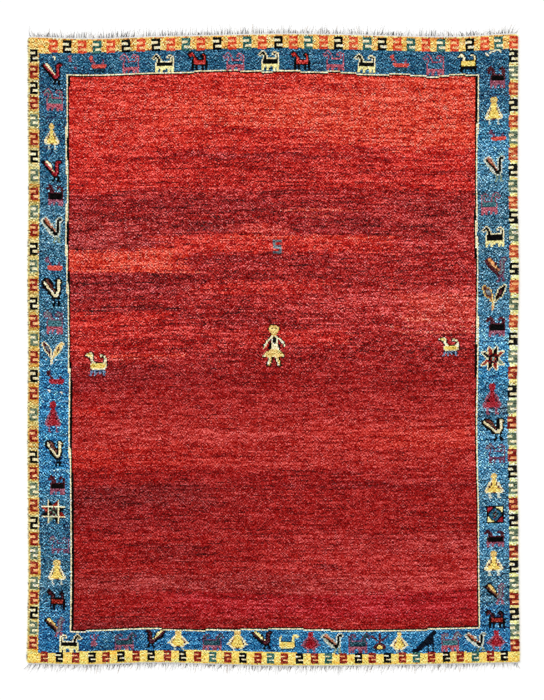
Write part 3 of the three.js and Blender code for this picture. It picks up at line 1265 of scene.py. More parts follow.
    def knot_figure(self, figure: Figure) -> None:
        """Knots one charted figure over the ground."""
        for j, line in enumerate(figure.cells()):
            for i, letter in enumerate(line):
                dye = figure.palette.get(letter)
                row = round(figure.row) + j
                column = round(figure.column) + i
                if dye and 0 <= row < self.plan.rows and 0 <= column < self.plan.columns:
                    self.dyes[row, column] = dye.value
                    self.grain[row, column] = DARK_GRAIN if max(dye.value) < 64 else FIGURE_GRAIN

    def spin_unevenly(self) -> None:
        """Gives every knot its own light and hue, as hand-spun and hand-dyed wool has."""
        shape = self.grain.shape
        speck = self.rng.standard_normal(shape)
        for step, axis, share in ((1, 0, 0.42), (1, 1, 0.22)):
            speck = speck - share * (np.roll(speck, step, axis=axis) + np.roll(speck, -step, axis=axis))
        runs = row_noise(self.rng, *shape, {2: 0.45, 5: 0.45, 16: 0.5, 40: 0.35})
        streaky = np.where(self.inside(BAND_LINES, 1.5), self.field_runs, self.border_runs)
        light = np.clip(speck * 1.22 + runs * streaky, self.darkest, self.brightest)
        spread = (self.grain * light.std())[..., None]
        self.dyes -= self.light_gain * spread**2 / np.maximum(self.dyes, 45.0)
        warm = row_noise(self.rng, *shape, {1: 0.7, 3: 0.5})
        self.dyes += (self.grain * light * self.light_scale)[..., None]
        self.dyes += (self.grain * warm * self.hue_scale)[..., None] * np.array([1.0, 0.0, -1.0])
        self.dyes = np.clip(self.dyes, 3.0, 255.0)


def deselect_all() -> None:
    """Clears the selection, in object mode."""
    if bpy.context.object and bpy.context.object.mode != "OBJECT":
        bpy.ops.object.mode_set(mode="OBJECT")
    bpy.ops.object.select_all(action="DESELECT")


def select_only(*pieces: Object) -> None:
    """Selects pieces and nothing else, and makes the last one active."""
    deselect_all()
    for piece in pieces:
        piece.select_set(True)
        bpy.context.view_layer.objects.active = piece


def add_grid(name: str, across: int, along: int) -> tuple[Object, np.ndarray, np.ndarray]:
    """Adds a grid primitive and reads where each of its points stands in it.

    Args:
        name: the new piece's name.
        across: faces along X.
        along: faces along Y.

    Returns:
        The piece, and for each point its step across and its step down from the top.
    """
    deselect_all()
    bpy.ops.mesh.primitive_grid_add(x_subdivisions=across, y_subdivisions=along, size=2.0)
    piece = bpy.context.active_object
    piece.name = name
    piece.data.name = name
    points = read_points(piece.data)
    step_across = np.rint((points[:, 0] + 1.0) / 2.0 * across)
    step_down = np.rint((1.0 - points[:, 1]) / 2.0 * along)
    return piece, step_across, step_down


def read_values(items: bpy_prop_collection, name: str, kind: type, width: int = 1) -> np.ndarray:
    """Reads one field of all a mesh's points, corners or faces.

    Args:
        items: the points, corners or faces.
        name: the field's name.
        kind: the kind of number that it holds.
        width: how many numbers it holds for each.

    Returns:
        One row for each item, or one number where the width is 1.
    """
    values = np.empty(len(items) * width, dtype=kind)
    items.foreach_get(name, values)
    return values.reshape(-1, width) if width > 1 else values


def write_values(items: bpy_prop_collection, name: str, values: np.ndarray) -> None:
    """Writes one field of all a mesh's points, corners or faces."""
    items.foreach_set(name, np.ascontiguousarray(values, dtype=np.float32).ravel())


def read_points(mesh: Mesh) -> np.ndarray:
    """The places of a mesh's points."""
    return read_values(mesh.vertices, "co", np.float32, 3).astype(float)


def write_points(mesh: Mesh, points: np.ndarray) -> None:
    """Moves a mesh's points."""
    write_values(mesh.vertices, "co", points)
    mesh.update()


def face_sizes(mesh: Mesh) -> np.ndarray:
    """How many corners each face has."""
    return read_values(mesh.polygons, "loop_total", np.int32)


def keep_lattice(mesh: Mesh, lattice: np.ndarray) -> None:
    """Stores each point's column and row, so that later points made from it have them too."""
    attribute = mesh.attributes.new("lattice", "FLOAT_VECTOR", "POINT")
    write_values(attribute.data, "vector", np.column_stack([lattice, np.zeros(len(lattice))]))


class Corners:
    """The face corners of a mesh whose points kept their columns and rows.

    Args:
        mesh: the mesh, which loses its stored columns and rows.
    """

    def __init__(self, mesh: Mesh) -> None:
        """Reads each corner's point, face, column and row."""
        stored = read_values(mesh.attributes["lattice"].data, "vector", np.float32, 3)
        mesh.attributes.remove(mesh.attributes["lattice"])
        self.points = read_values(mesh.loops, "vertex_index", np.int32)
        self.lattice = stored[self.points, :2].astype(float)
        self.sizes = face_sizes(mesh)
        self.faces = np.repeat(np.arange(len(self.sizes)), self.sizes)

    def middles(self) -> np.ndarray:
        """The column and row of each face's middle."""
        return np.stack([np.bincount(self.faces, self.lattice[:, i]) / self.sizes for i in range(2)], axis=1)

    def wide(self) -> np.ndarray:
        """Which corners belong to a face of more than four, such as a lid or a sleeve's end."""
        return np.repeat(self.sizes > 4, self.sizes)

    def sheet_bake(self, square: np.ndarray, count: int) -> np.ndarray:
        """Lays a closed sheet out for baking, its rim inside its top and its lid in one corner.

        Args:
            square: each corner's place across and up the sheet, from 0 to 1.
            count: how many of the points belong to the sheet's top.

        Returns:
            The bake map's values.
        """
        rim_width, top_width, lid_width = 0.97, 0.94, 0.01
        widths = np.where(self.points >= count, rim_width, top_width)[:, None]
        baked = 0.5 + (square - 0.5) * widths
        lid = self.wide()
        baked[lid] = square[lid] * lid_width
        return baked


def past_seam(turns: np.ndarray, faces: np.ndarray) -> np.ndarray:
    """Adds a turn to the low corners of each face that crosses a sleeve's seam, so that its map runs on.

    Args:
        turns: how far round the sleeve each corner lies, from 0 to 1.
        faces: the face of each corner.

    Returns:
        The turns, some of them past 1.
    """
    low = np.full(faces.max() + 1, np.inf)
    np.minimum.at(low, faces, turns)
    high = np.zeros(len(low))
    np.maximum.at(high, faces, turns)
    return np.where((high - low > 0.5)[faces] & (turns < 0.5), turns + 1.0, turns)


def close_below(piece: Object, height: float) -> int:
    """Extrudes an open sheet's rim to one height and closes it there.

    Args:
        piece: the sheet.
        height: the Z of the new flat face.

    Returns:
        How many points the open sheet had, past which the new ones start.
    """
    count = len(piece.data.vertices)
    bpy.ops.object.mode_set(mode="EDIT")
    bpy.ops.mesh.select_mode(type="EDGE")
    bpy.ops.mesh.select_all(action="DESELECT")
    other_kinds = dict.fromkeys(("use_wire", "use_multi_face", "use_non_contiguous", "use_verts"), False)
    bpy.ops.mesh.select_non_manifold(extend=False, use_boundary=True, **other_kinds)
    bpy.ops.mesh.extrude_region_move(TRANSFORM_OT_translate={"value": (0.0, 0.0, -MM)})
    bpy.ops.mesh.edge_face_add()
    bpy.ops.object.mode_set(mode="OBJECT")
    points = read_points(piece.data)
    points[count:, 2] = height
    write_points(piece.data, points)
    point_outwards(piece)
    return count


def point_outwards(piece: Object) -> None:
    """Turns a closed piece's faces outwards."""
    select_only(piece)
    bpy.ops.object.mode_set(mode="EDIT")
    bpy.ops.mesh.select_all(action="SELECT")
    bpy.ops.mesh.normals_make_consistent(inside=False)
    bpy.ops.mesh.select_all(action="DESELECT")
    bpy.ops.object.mode_set(mode="OBJECT")


def shade(piece: Object, degrees: float) -> None:
    """Shades a piece smooth, but for edges sharper than an angle."""
    select_only(piece)
    bpy.ops.object.shade_smooth_by_angle(angle=math.radians(degrees))
    deselect_all()


def write_map(mesh: Mesh, name: str, values: np.ndarray) -> None:
    """Writes a UV map, one pair of values for each face corner."""
    write_values(mesh.uv_layers.new(name=name).data, "uv", values)


def write_grain(mesh: Mesh, grain: np.ndarray) -> None:
    """Writes how far each face corner's light strays, as a share of the whole display range."""
    write_values(mesh.attributes.new("grain", "FLOAT", "CORNER").data, "value", grain / 255.0)


def write_dyes(mesh: Mesh, dyes: np.ndarray) -> None:
    """Writes the dye of each face corner, from display colours."""
    attribute = mesh.color_attributes.new(name="dye", type="FLOAT_COLOR", domain="CORNER")
    write_values(attribute.data, "color", np.column_stack([linear_light(dyes), np.ones(len(dyes))]))


@dataclass(frozen=True)
class NodeBench:
    """Adds and links nodes in one tree.

    Args:
        tree: the material's or the group's node tree.
    """

    tree: NodeTree

    def fill(self, socket: NodeSocket, value: object) -> None:
        """Links an output to an input socket, or sets the socket's own value."""
        if isinstance(value, NodeSocket):
            self.tree.links.new(value, socket)
        elif value is not None:
            socket.default_value = value

    def feed(self, node: Node, **values: object) -> Node:
        """Fills a node's input sockets by name, with underscores for the spaces of a name."""
        for name, value in values.items():
            self.fill(node.inputs[name.replace("_", " ")], value)
        return node

    def add(self, kind: str, **settings: object) -> Node:
        """Adds a node; a setting sets the node's property, or fills the input socket of that name."""
        node = self.tree.nodes.new(kind)
        for name, value in settings.items():
            if hasattr(node, name):
                setattr(node, name, value)
            else:
                self.feed(node, **{name: value})
        return node

    def math(self, operation: str, *values: object, kind: str = "ShaderNodeMath") -> NodeSocket:
        """Adds a Math node whose inputs are sockets or values, and returns its result."""
        node = self.add(kind, operation=operation)
        for socket, value in zip(node.inputs, values):
            self.fill(socket, value)
        return node.outputs[0]

    def noise(self, vector: NodeSocket, scale: float, detail: float) -> NodeSocket:
        """Adds a Noise texture and returns its value."""
        return self.add("ShaderNodeTexNoise", Scale=scale, Detail=detail, Vector=vector).outputs["Fac"]

    def stretch(self, vector: NodeSocket, scale: tuple[float, float, float]) -> NodeSocket:
        """Scales a vector along its axes."""
        return self.add("ShaderNodeMapping", Scale=scale, Vector=vector).outputs["Vector"]

    def mix(self, blend: str, share: object, first: object, second: object) -> NodeSocket:
        """Mixes two colours, each a socket or a colour, and returns the result."""
        node = self.add("ShaderNodeMix", data_type="RGBA", blend_type=blend)
        sockets = [socket for socket in node.inputs if socket.enabled]
        for socket, value in zip(sockets, (share, first, second)):
            self.fill(socket, value)
        return next(socket for socket in node.outputs if socket.enabled)

    def group(self, tree: NodeTree, **values: object) -> bpy_prop_collection:
        """Places a node group and returns its outputs."""
        return self.add("ShaderNodeGroup", node_tree=tree, **values).outputs

    def attribute(self, name: str, output: str = "Color") -> NodeSocket:
        """Reads one of the mesh's attributes."""
        return self.add("ShaderNodeAttribute", attribute_name=name).outputs[output]

    def map(self, name: str) -> NodeSocket:
        """Reads one of the mesh's UV maps."""
        return self.add("ShaderNodeUVMap", uv_map=name).outputs["UV"]

    def place(self) -> NodeSocket:
        """Reads the place on the object."""
        return self.add("ShaderNodeTexCoord").outputs["Object"]

    def bump(self, height: NodeSocket, distance: float, strength: float) -> NodeSocket:
        """Adds a relief that the light sees."""
        node = self.add("ShaderNodeBump", Height=height, Distance=distance, Strength=strength)
        return node.outputs["Normal"]


def new_group(
    name: str, inputs: dict[str, str], outputs: dict[str, str]
) -> tuple[NodeBench, bpy_prop_collection, Node]:
    """Makes an empty shader node group.

    Args:
        name: the group's name.
        inputs: the kind of each input, by name.
        outputs: the kind of each output, by name.

    Returns:
        The group's bench, the sockets that bring its inputs, and the node that takes its outputs.
    """
    group = bpy.data.node_groups.new(name, "ShaderNodeTree")
    for sockets, direction in ((inputs, "INPUT"), (outputs, "OUTPUT")):
        for socket, kind in sockets.items():
            group.interface.new_socket(name=socket, in_out=direction, socket_type=f"NodeSocket{kind}")
    bench = NodeBench(group)
    return bench, bench.add("NodeGroupInput").outputs, bench.add("NodeGroupOutput")


def heather_group() -> NodeTree:
    """Builds the group that lightens and darkens a dye by the same step in every colour, as the eye sees it.

    Returns:
        A group with inputs Dye, Tone, Vector and Strength, and output Color; a Tone of 0.5 changes nothing.
    """
    inputs = {"Dye": "Color", "Tone": "Float", "Vector": "Vector", "Strength": "Float"}
    bench, source, target = new_group("Wool heather", inputs, {"Color": "Color"})
    display_gamma = 2.2
    darkest = (0.015, 0.015, 0.015)
    fibres = bench.noise(bench.stretch(source["Vector"], (1300.0, 800.0, 900.0)), 1.0, 2.0)
    swing = bench.math("SUBTRACT", source["Tone"], 0.5)
    swing = bench.math("ADD", swing, bench.math("SUBTRACT", fibres, 0.5))
    step = bench.math("MULTIPLY", swing, source["Strength"])
    seen = bench.add("ShaderNodeGamma", Gamma=1.0 / display_gamma, Color=source["Dye"])
    moved = bench.math("ADD", seen.outputs["Color"], step, kind="ShaderNodeVectorMath")
    floor = bench.math("MAXIMUM", moved, darkest, kind="ShaderNodeVectorMath")
    light = bench.add("ShaderNodeGamma", Gamma=display_gamma, Color=floor)
    bench.feed(target, Color=light.outputs["Color"])
    return bench.tree


def knot_group() -> NodeTree:
    """Builds the group that raises the cut tufts, two or so across each knot, in rows.

    Returns:
        A group with inputs Knots, Vector and Fibre, and outputs Tone, Height and Dip.
    """
    inputs = {"Knots": "Vector", "Vector": "Vector", "Fibre": "Float"}
    outputs = {"Tone": "Float", "Height": "Float", "Dip": "Float"}
    bench, source, target = new_group("Knot relief", inputs, outputs)
    cells = bench.add("ShaderNodeTexVoronoi", voronoi_dimensions="2D", Scale=2.0, Randomness=0.85)
    tufts = bench.feed(cells, Vector=source["Knots"]).outputs
    tone = bench.add("ShaderNodeSeparateColor", Color=tufts["Color"])
    fibres = bench.noise(bench.stretch(source["Vector"], (1500.0, 1100.0, 900.0)), 1.0, 3.0)
    dip = bench.math("POWER", bench.math("MINIMUM", tufts["Distance"], 1.0), 1.6)
    rough = bench.math("MULTIPLY", fibres, source["Fibre"])
    height = bench.math("ADD", bench.math("SUBTRACT", 1.0, dip), rough)
    bench.feed(target, Tone=tone.outputs["Red"], Height=height, Dip=dip)
    return bench.tree


def ply_group() -> NodeTree:
    """Builds the group that winds slanting plies round a yarn.

    Returns:
        A group with inputs Along and Plies, and outputs Height and Groove; Along is the yarn's own map,
        turns round it in X and lengths along it in Y.
    """
    inputs = {"Along": "Vector", "Plies": "Float"}
    bench, source, target = new_group("Yarn plies", inputs, {"Height": "Float", "Groove": "Float"})
    split = bench.add("ShaderNodeSeparateXYZ", Vector=source["Along"]).outputs
    turn = bench.math("ADD", split["X"], bench.math("MULTIPLY", split["Y"], source["Plies"]))
    wave = bench.math("ABSOLUTE", bench.math("SINE", bench.math("MULTIPLY", turn, math.pi)))
    groove = bench.math("POWER", bench.math("SUBTRACT", 1.0, wave), 2.0)
    bench.feed(target, Height=wave, Groove=groove)
    return bench.tree


@dataclass(frozen=True)
class SharedGroups:
    """The node groups that more than one finish uses."""

    heather: NodeTree
    knots: NodeTree
    plies: NodeTree


def new_material(name: str) -> tuple[Material, NodeBench, Node]:
    """Makes a material with a bare Principled shader.

    Args:
        name: the material's name.

    Returns:
        The material, its bench and its Principled node.
    """
    material = bpy.data.materials.new(name)
    material.use_nodes = True
    material.node_tree.nodes.clear()
    bench = NodeBench(material.node_tree)
    surface = bench.add("ShaderNodeBsdfPrincipled")
    bench.add("ShaderNodeOutputMaterial", Surface=surface.outputs["BSDF"])
    return material, bench, surface


@dataclass(frozen=True)
class PileFinish:
    """Cut wool pile, matt and soft, with its knots and fibres, and painted shade in the hollows between
    tufts.

    Args:
        name: the material's name.
        strength: how far the tufts' light strays, for each share that the dye's own grain gives.
        painted_dip_shade: how dark the painted shade in the hollows between tufts is.
        painted_dip_tint: what that painted shade multiplies the dye by, as linear red, green and blue.
        relief: how high the tufts stand for the light.
        sheen: how much the fibre tips catch the light.
    """

    name: str = "Cut wool pile"
    strength: float = 4.4
    painted_dip_shade: float = 0.3
    painted_dip_tint: tuple[float, float, float, float] = (0.3, 0.26, 0.26, 1.0)
    relief: float = 0.0011
    sheen: float = 0.12

    def make(self, groups: SharedGroups) -> Material:
        """Builds the material."""
        material, bench, surface = new_material(self.name)
        dye = bench.attribute("dye")
        place = bench.place()
        tufts = bench.group(groups.knots, Knots=bench.map("Knots"), Vector=place, Fibre=0.5)
        strength = bench.math("MULTIPLY", bench.attribute("grain", "Fac"), self.strength)
        wool = bench.group(groups.heather, Dye=dye, Tone=tufts["Tone"], Vector=place, Strength=strength)
        # painted shade: the colour darkens in the hollows between tufts
        painted_shade = bench.math("MULTIPLY", tufts["Dip"], self.painted_dip_shade)
        bench.feed(
            surface,
            Base_Color=bench.mix("MULTIPLY", painted_shade, wool["Color"], self.painted_dip_tint),
            Roughness=bench.math("ADD", 0.86, bench.math("MULTIPLY", tufts["Dip"], 0.12)),
            Normal=bench.bump(tufts["Height"], self.relief, 0.8),
            Specular_IOR_Level=0.04,
            Sheen_Weight=self.sheen,
            Sheen_Roughness=0.6,
            Sheen_Tint=dye,
        )
        return material


@dataclass(frozen=True)
class BackFinish:
    """The woven back, where each knot shows as a small flat loop between wefts.

    Args:
        name: the material's name.
        weft: the colour of the wefts between the knots, as linear red, green and blue.
        relief: how high the loops stand for the light.
    """

    name: str = "Woven back"
    weft: tuple[float, float, float, float] = (0.34, 0.28, 0.2, 1.0)
    relief: float = 0.0008

    def make(self, groups: SharedGroups) -> Material:
        """Builds the material."""
        material, bench, surface = new_material(self.name)
        place = bench.place()
        dye = bench.attribute("dye")
        tufts = bench.group(groups.knots, Knots=bench.map("Knots"), Vector=place, Fibre=0.2)
        wool = bench.group(groups.heather, Dye=dye, Tone=tufts["Tone"], Vector=place, Strength=0.2)
        between = bench.math("POWER", tufts["Dip"], 2.0)
        bench.feed(
            surface,
            Base_Color=bench.mix("MIX", between, wool["Color"], self.weft),
            Roughness=0.92,
            Normal=bench.bump(tufts["Height"], self.relief, 0.7),
            Specular_IOR_Level=0.15,
        )
        return material


@dataclass(frozen=True)
class YarnFinish:
    """Spun yarn with slanting plies and loose fibres, and painted shade between the plies, for the selvedges
    and the fringes.

    Args:
        name: the material's name.
        plies: how many turns of ply show for each length of the yarn's map.
        painted_groove_shade: how dark the painted shade between plies is.
        painted_groove_tint: what that painted shade multiplies the dye by, as linear red, green and blue.
        relief: how high the plies stand for the light.
    """

    name: str
    plies: float
    painted_groove_shade: float = 0.5
    painted_groove_tint: tuple[float, float, float, float] = (0.3, 0.27, 0.25, 1.0)
    relief: float = 0.0004

    def make(self, groups: SharedGroups) -> Material:
        """Builds the material."""
        material, bench, surface = new_material(self.name)
        dye = bench.attribute("dye")
        wool = bench.group(groups.heather, Dye=dye, Tone=0.5, Vector=bench.place(), Strength=0.24)
        yarn = bench.group(groups.plies, Along=bench.map("Along"), Plies=self.plies)
        # painted shade: the colour darkens in the hollows between plies
        painted_groove_shading = bench.math("MULTIPLY", yarn["Groove"], self.painted_groove_shade)
        bench.feed(
            surface,
            Base_Color=bench.mix("MULTIPLY", painted_groove_shading, wool["Color"], self.painted_groove_tint),
            Roughness=0.9,
            Normal=bench.bump(yarn["Height"], self.relief, 0.6),
            Specular_IOR_Level=0.2,
            Sheen_Weight=0.1,
        )
        return material


@dataclass
class Pile:
    """The cut pile, in panels that share one lattice of knots.

    Args:
        plan: the rug's plan.
        dyes: the display colour of every knot.
        grain: how far each knot's light strays.
        base: the height where the pile leaves the woven foundation.
        height: the height of the cut tips.
        unevenness: how much the tips' height varies.
        jitter: how far the lattice points stray, in knots.
        rim_drops: how much lower the tips are at the edge and one, two and three knots in.
        highest: the height that no tip passes.
        seed: the seed of the unevenness.
    """

    plan: RugPlan
    dyes: np.ndarray
    grain: np.ndarray
    base: float = 3.0 * MM
    height: float = 11.4 * MM
    unevenness: float = 0.28 * MM
    jitter: float = 0.14
    rim_drops: tuple[float, ...] = (2.6 * MM, 0.9 * MM, 0.25 * MM, 0.0)
    highest: float = 12.3 * MM
    seed: int = 5
    panels: tuple[tuple[str, int, int, int, int], ...] = (
        ("pile_top_border", 0, 390, 0, 30),
        ("pile_bottom_border", 0, 390, 474, 501),
        ("pile_left_border", 0, 31, 30, 474),
        ("pile_right_border", 359, 390, 30, 474),
        ("pile_field_left", 31, 195, 30, 474),
        ("pile_field_right", 195, 359, 30, 474),
    )

    def __post_init__(self) -> None:
        """Works out the whole lattice once, so that panels meet without a step."""
        rng = np.random.default_rng(self.seed)
        rows, columns = self.plan.rows + 1, self.plan.columns + 1
        row, column = np.mgrid[0:rows, 0:columns].astype(float)
        edge = np.minimum(np.minimum(row, rows - 1 - row), np.minimum(column, columns - 1 - column))
        inner = np.clip(edge, 0.0, 1.0)
        stray_column = rng.standard_normal(row.shape) * self.jitter * inner
        stray_row = rng.standard_normal(row.shape) * self.jitter * 0.8 * inner
        place = self.plan.place(column + stray_column, row + stray_row)
        lumps = row_noise(rng, rows, columns, {1: 0.7, 7: 0.5})
        swell = np.sin(row * 0.11 + 1.3 * np.sin(column * 0.043)) * np.sin(column * 0.083 + 0.6)
        height = self.height + self.unevenness * (lumps * 0.55 + swell * 0.6)
        height -= np.interp(edge, range(len(self.rim_drops)), self.rim_drops)
        self.points = np.dstack([place, np.minimum(height, self.highest)])

    def build(self, groups: SharedGroups) -> list[Object]:
        """Builds every panel.

        Args:
            groups: the shared node groups.

        Returns:
            The panels.
        """
        material = PileFinish().make(groups)
        return [self.panel(*bounds, material) for bounds in self.panels]

    def panel(
        self, name: str, first: int, last: int, top: int, bottom: int, material: Material
    ) -> Object:
        """Builds one closed panel of pile.

        Args:
            name: the panel's name.
            first: its first column.
            last: the column past its last one.
            top: its first row.
            bottom: the row past its last one.
            material: the pile's finish.

        Returns:
            The panel.
        """
        piece, across, down = add_grid(name, last - first, bottom - top)
        column = across.astype(int) + first
        row = down.astype(int) + top
        write_points(piece.data, self.points[row, column])
        keep_lattice(piece.data, np.stack([column, row], axis=1))
        count = close_below(piece, self.base)
        self.dress(piece.data, count, (first, last, top, bottom))
        piece.data.materials.append(material)
        shade(piece, 60.0)
        return piece

    def dress(self, mesh: Mesh, count: int, bounds: tuple[int, int, int, int]) -> None:
        """Writes a panel's maps and dyes.

        Args:
            mesh: the panel's mesh.
            count: how many of its points belong to the pile's top.
            bounds: the first and last column, and the first and last row.
        """
        first, last, top, bottom = bounds
        corners = Corners(mesh)
        column, row = corners.middles().T
        column = np.clip(np.floor(column), first, last - 1).astype(int)[corners.faces]
        row = np.clip(np.floor(row), top, bottom - 1).astype(int)[corners.faces]
        write_dyes(mesh, self.dyes[row, column])
        write_grain(mesh, self.grain[row, column])
        write_map(mesh, "Knots", corners.lattice)
        low = np.array([first, bottom])
        square = (corners.lattice - low) / np.array([last - first, top - bottom])
        write_map(mesh, "OFBake", corners.sheet_bake(square, count))
        mesh.uv_layers["Knots"].active_render = True


@dataclass
class WovenBack:
    """The woven foundation under the pile, one sheet that shows the pattern on its underside.

    Args:
        plan: the rug's plan.
        dyes: the display colour of every knot.
        thickness: the foundation's thickness.
        pitch: how many knots each face of the underside takes.
        inset: how far the sheet stays inside the pile's edge, in knots.
        unevenness: how much the underside's height varies.
        seed: the seed of the unevenness.
    """

    plan: RugPlan
    dyes: np.ndarray
    thickness: float = 2.8 * MM
    pitch: int = 2
    inset: float = 0.35
    unevenness: float = 0.25 * MM
    seed: int = 3

    def build(self, groups: SharedGroups) -> Object:
        """Builds the sheet.

        Args:
            groups: the shared node groups.

        Returns:
            The sheet.
        """
        across = self.plan.columns // self.pitch
        along = (self.plan.rows - 1) // self.pitch
        piece, step_across, step_down = add_grid("woven_back", across, along)
        limits = np.array([self.plan.columns, self.plan.rows])
        lattice = np.stack([step_across / across, step_down / along], axis=1) * limits
        inner = np.clip(lattice, self.inset, limits - self.inset)
        place = self.plan.place(inner[:, 0], inner[:, 1])
        rise = np.random.default_rng(self.seed).random(len(place)) * self.unevenness
        write_points(piece.data, np.column_stack([place, rise]))
        keep_lattice(piece.data, lattice)
        count = close_below(piece, self.thickness)
        self.dress(piece.data, count, across, along)
        piece.data.materials.append(BackFinish().make(groups))
        shade(piece, 60.0)
        return piece

    def dress(self, mesh: Mesh, count: int, across: int, along: int) -> None:
        """Writes the sheet's maps and its dyes, each the mean of the knots above it."""
        rows = along * self.pitch
        blocks = self.dyes[:rows].reshape(along, self.pitch, across, self.pitch, 3).mean(axis=(1, 3))
        duller = blocks * 0.86 + 18.0
        corners = Corners(mesh)
        column, row = corners.middles().T
        column = np.clip(column / self.plan.columns * across, 0, across - 1).astype(int)[corners.faces]
        row = np.clip(row / self.plan.rows * along, 0, along - 1).astype(int)[corners.faces]
        write_dyes(mesh, duller[row, column])
        write_map(mesh, "Knots", corners.lattice)
        low = np.array([0, self.plan.rows])
        square = (corners.lattice - low) / np.array([self.plan.columns, -self.plan.rows])
        write_map(mesh, "OFBake", corners.sheet_bake(square, count))


@dataclass(frozen=True)
class Strand:
    """One modelled strand, ready to be copied: its points, its faces and its corner maps.

    Args:
        round_turns: how far round the strand each point lies, from 0 to 1.
        reach: how far along the strand each point lies, from 0 to 1.
        faces: the corners of each face, as point numbers.
        caps: which faces close the two ends.
    """

    round_turns: np.ndarray
    reach: np.ndarray
    faces: list[tuple[int, ...]]
    caps: np.ndarray

    @staticmethod
    def model(sides: int, sections: int) -> "Strand":
        """Models a strand from a ring that is filled and extruded along its length.

        Args:
            sides: how many sides it has.
            sections: how many lengths it is made of.

        Returns:
            The strand, with a radius and a length of 1.
        """
        deselect_all()
        bpy.ops.mesh.primitive_circle_add(vertices=sides, radius=1.0, fill_type="NGON")
        piece = bpy.context.active_object
        bpy.ops.object.mode_set(mode="EDIT")
        for _ in range(sections):
            bpy.ops.mesh.extrude_region_move(TRANSFORM_OT_translate={"value": (0.0, 0.0, 1.0 / sections)})
        bpy.ops.object.mode_set(mode="OBJECT")
        point_outwards(piece)
        points = read_points(piece.data)
        faces = [tuple(face.vertices) for face in piece.data.polygons]
        turns = np.arctan2(points[:, 1], points[:, 0]) / (2 * math.pi) % 1.0
        heights = points[:, 2].copy()
        caps = np.array([np.ptp(heights[list(face)]) < 0.5 / sections for face in faces])
        bpy.data.objects.remove(piece)
        return Strand(turns, heights, faces, caps)

    def copies(self, name: str, points: np.ndarray, dyes: np.ndarray, shelf: float = 0.0) -> Object:
        """Joins many copies of the strand into one piece.

        Args:
            name: the piece's name.
            points: the places of every copy's points, by copy and point.
            dyes: the display colour of every copy's points, by copy and point.
            shelf: how much of the bake map's foot is left free for another piece.

        Returns:
            The piece, with its maps and dyes.
        """
        count, size = points.shape[:2]
        sizes = np.array([len(face) for face in self.faces])
        corners = np.concatenate([np.array(face) for face in self.faces])
        offsets = np.arange(count)[:, None] * size
        all_corners = (corners[None, :] + offsets).ravel()
        mesh = bpy.data.meshes.new(name)
        mesh.vertices.add(count * size)
        write_values(mesh.vertices, "co", points)
        mesh.loops.add(len(all_corners))
        mesh.loops.foreach_set("vertex_index", all_corners.astype(np.int32))
        mesh.polygons.add(count * len(sizes))
        starts = np.concatenate([[0], np.cumsum(np.tile(sizes, count))[:-1]])
        mesh.polygons.foreach_set("loop_start", starts.astype(np.int32))
        mesh.update(calc_edges=True)
        mesh.validate()
        write_dyes(mesh, dyes.reshape(-1, 3)[all_corners])
        along, baked = self.corner_maps(corners, sizes)
        write_map(mesh, "Along", np.tile(along, (count, 1)))
        write_map(mesh, "OFBake", self.tiled(baked, count) * [1.0, 1.0 - shelf] + [0.0, shelf])
        piece = bpy.data.objects.new(name, mesh)
        bpy.context.scene.collection.objects.link(piece)
        return piece

    def corner_maps(self, corners: np.ndarray, sizes: np.ndarray) -> tuple[np.ndarray, np.ndarray]:
        """The strand's own map, and one cell of the bake map, for each face corner."""
        faces = np.repeat(np.arange(len(sizes)), sizes)
        turns = past_seam(self.round_turns[corners], faces)
        reach = self.reach[corners]
        along = np.stack([turns, reach], axis=1)
        baked = np.stack([0.05 + 0.9 * turns / max(turns.max(), 1.0), 0.1 + 0.8 * reach], axis=1)
        cap = self.caps[faces]
        angle = self.round_turns[corners] * 2 * math.pi
        centre = np.where(reach > 0.5, 0.75, 0.25)
        small = np.stack([centre + 0.03 * np.cos(angle), 0.05 + 0.03 * np.sin(angle)], axis=1)
        baked[cap] = small[cap]
        return along, baked

    @staticmethod
    def tiled(cell: np.ndarray, count: int) -> np.ndarray:
        """Lays one cell's map out once for each copy, so that the copies share the square."""
        across = math.ceil(math.sqrt(count))
        down = math.ceil(count / across)
        index = np.arange(count)
        corner = np.stack([(index % across) / across, (index // across) / down], axis=1)
        size = np.array([1.0 / across, 1.0 / down])
        return (corner[:, None, :] + cell[None, :, :] * size).reshape(-1, 2)


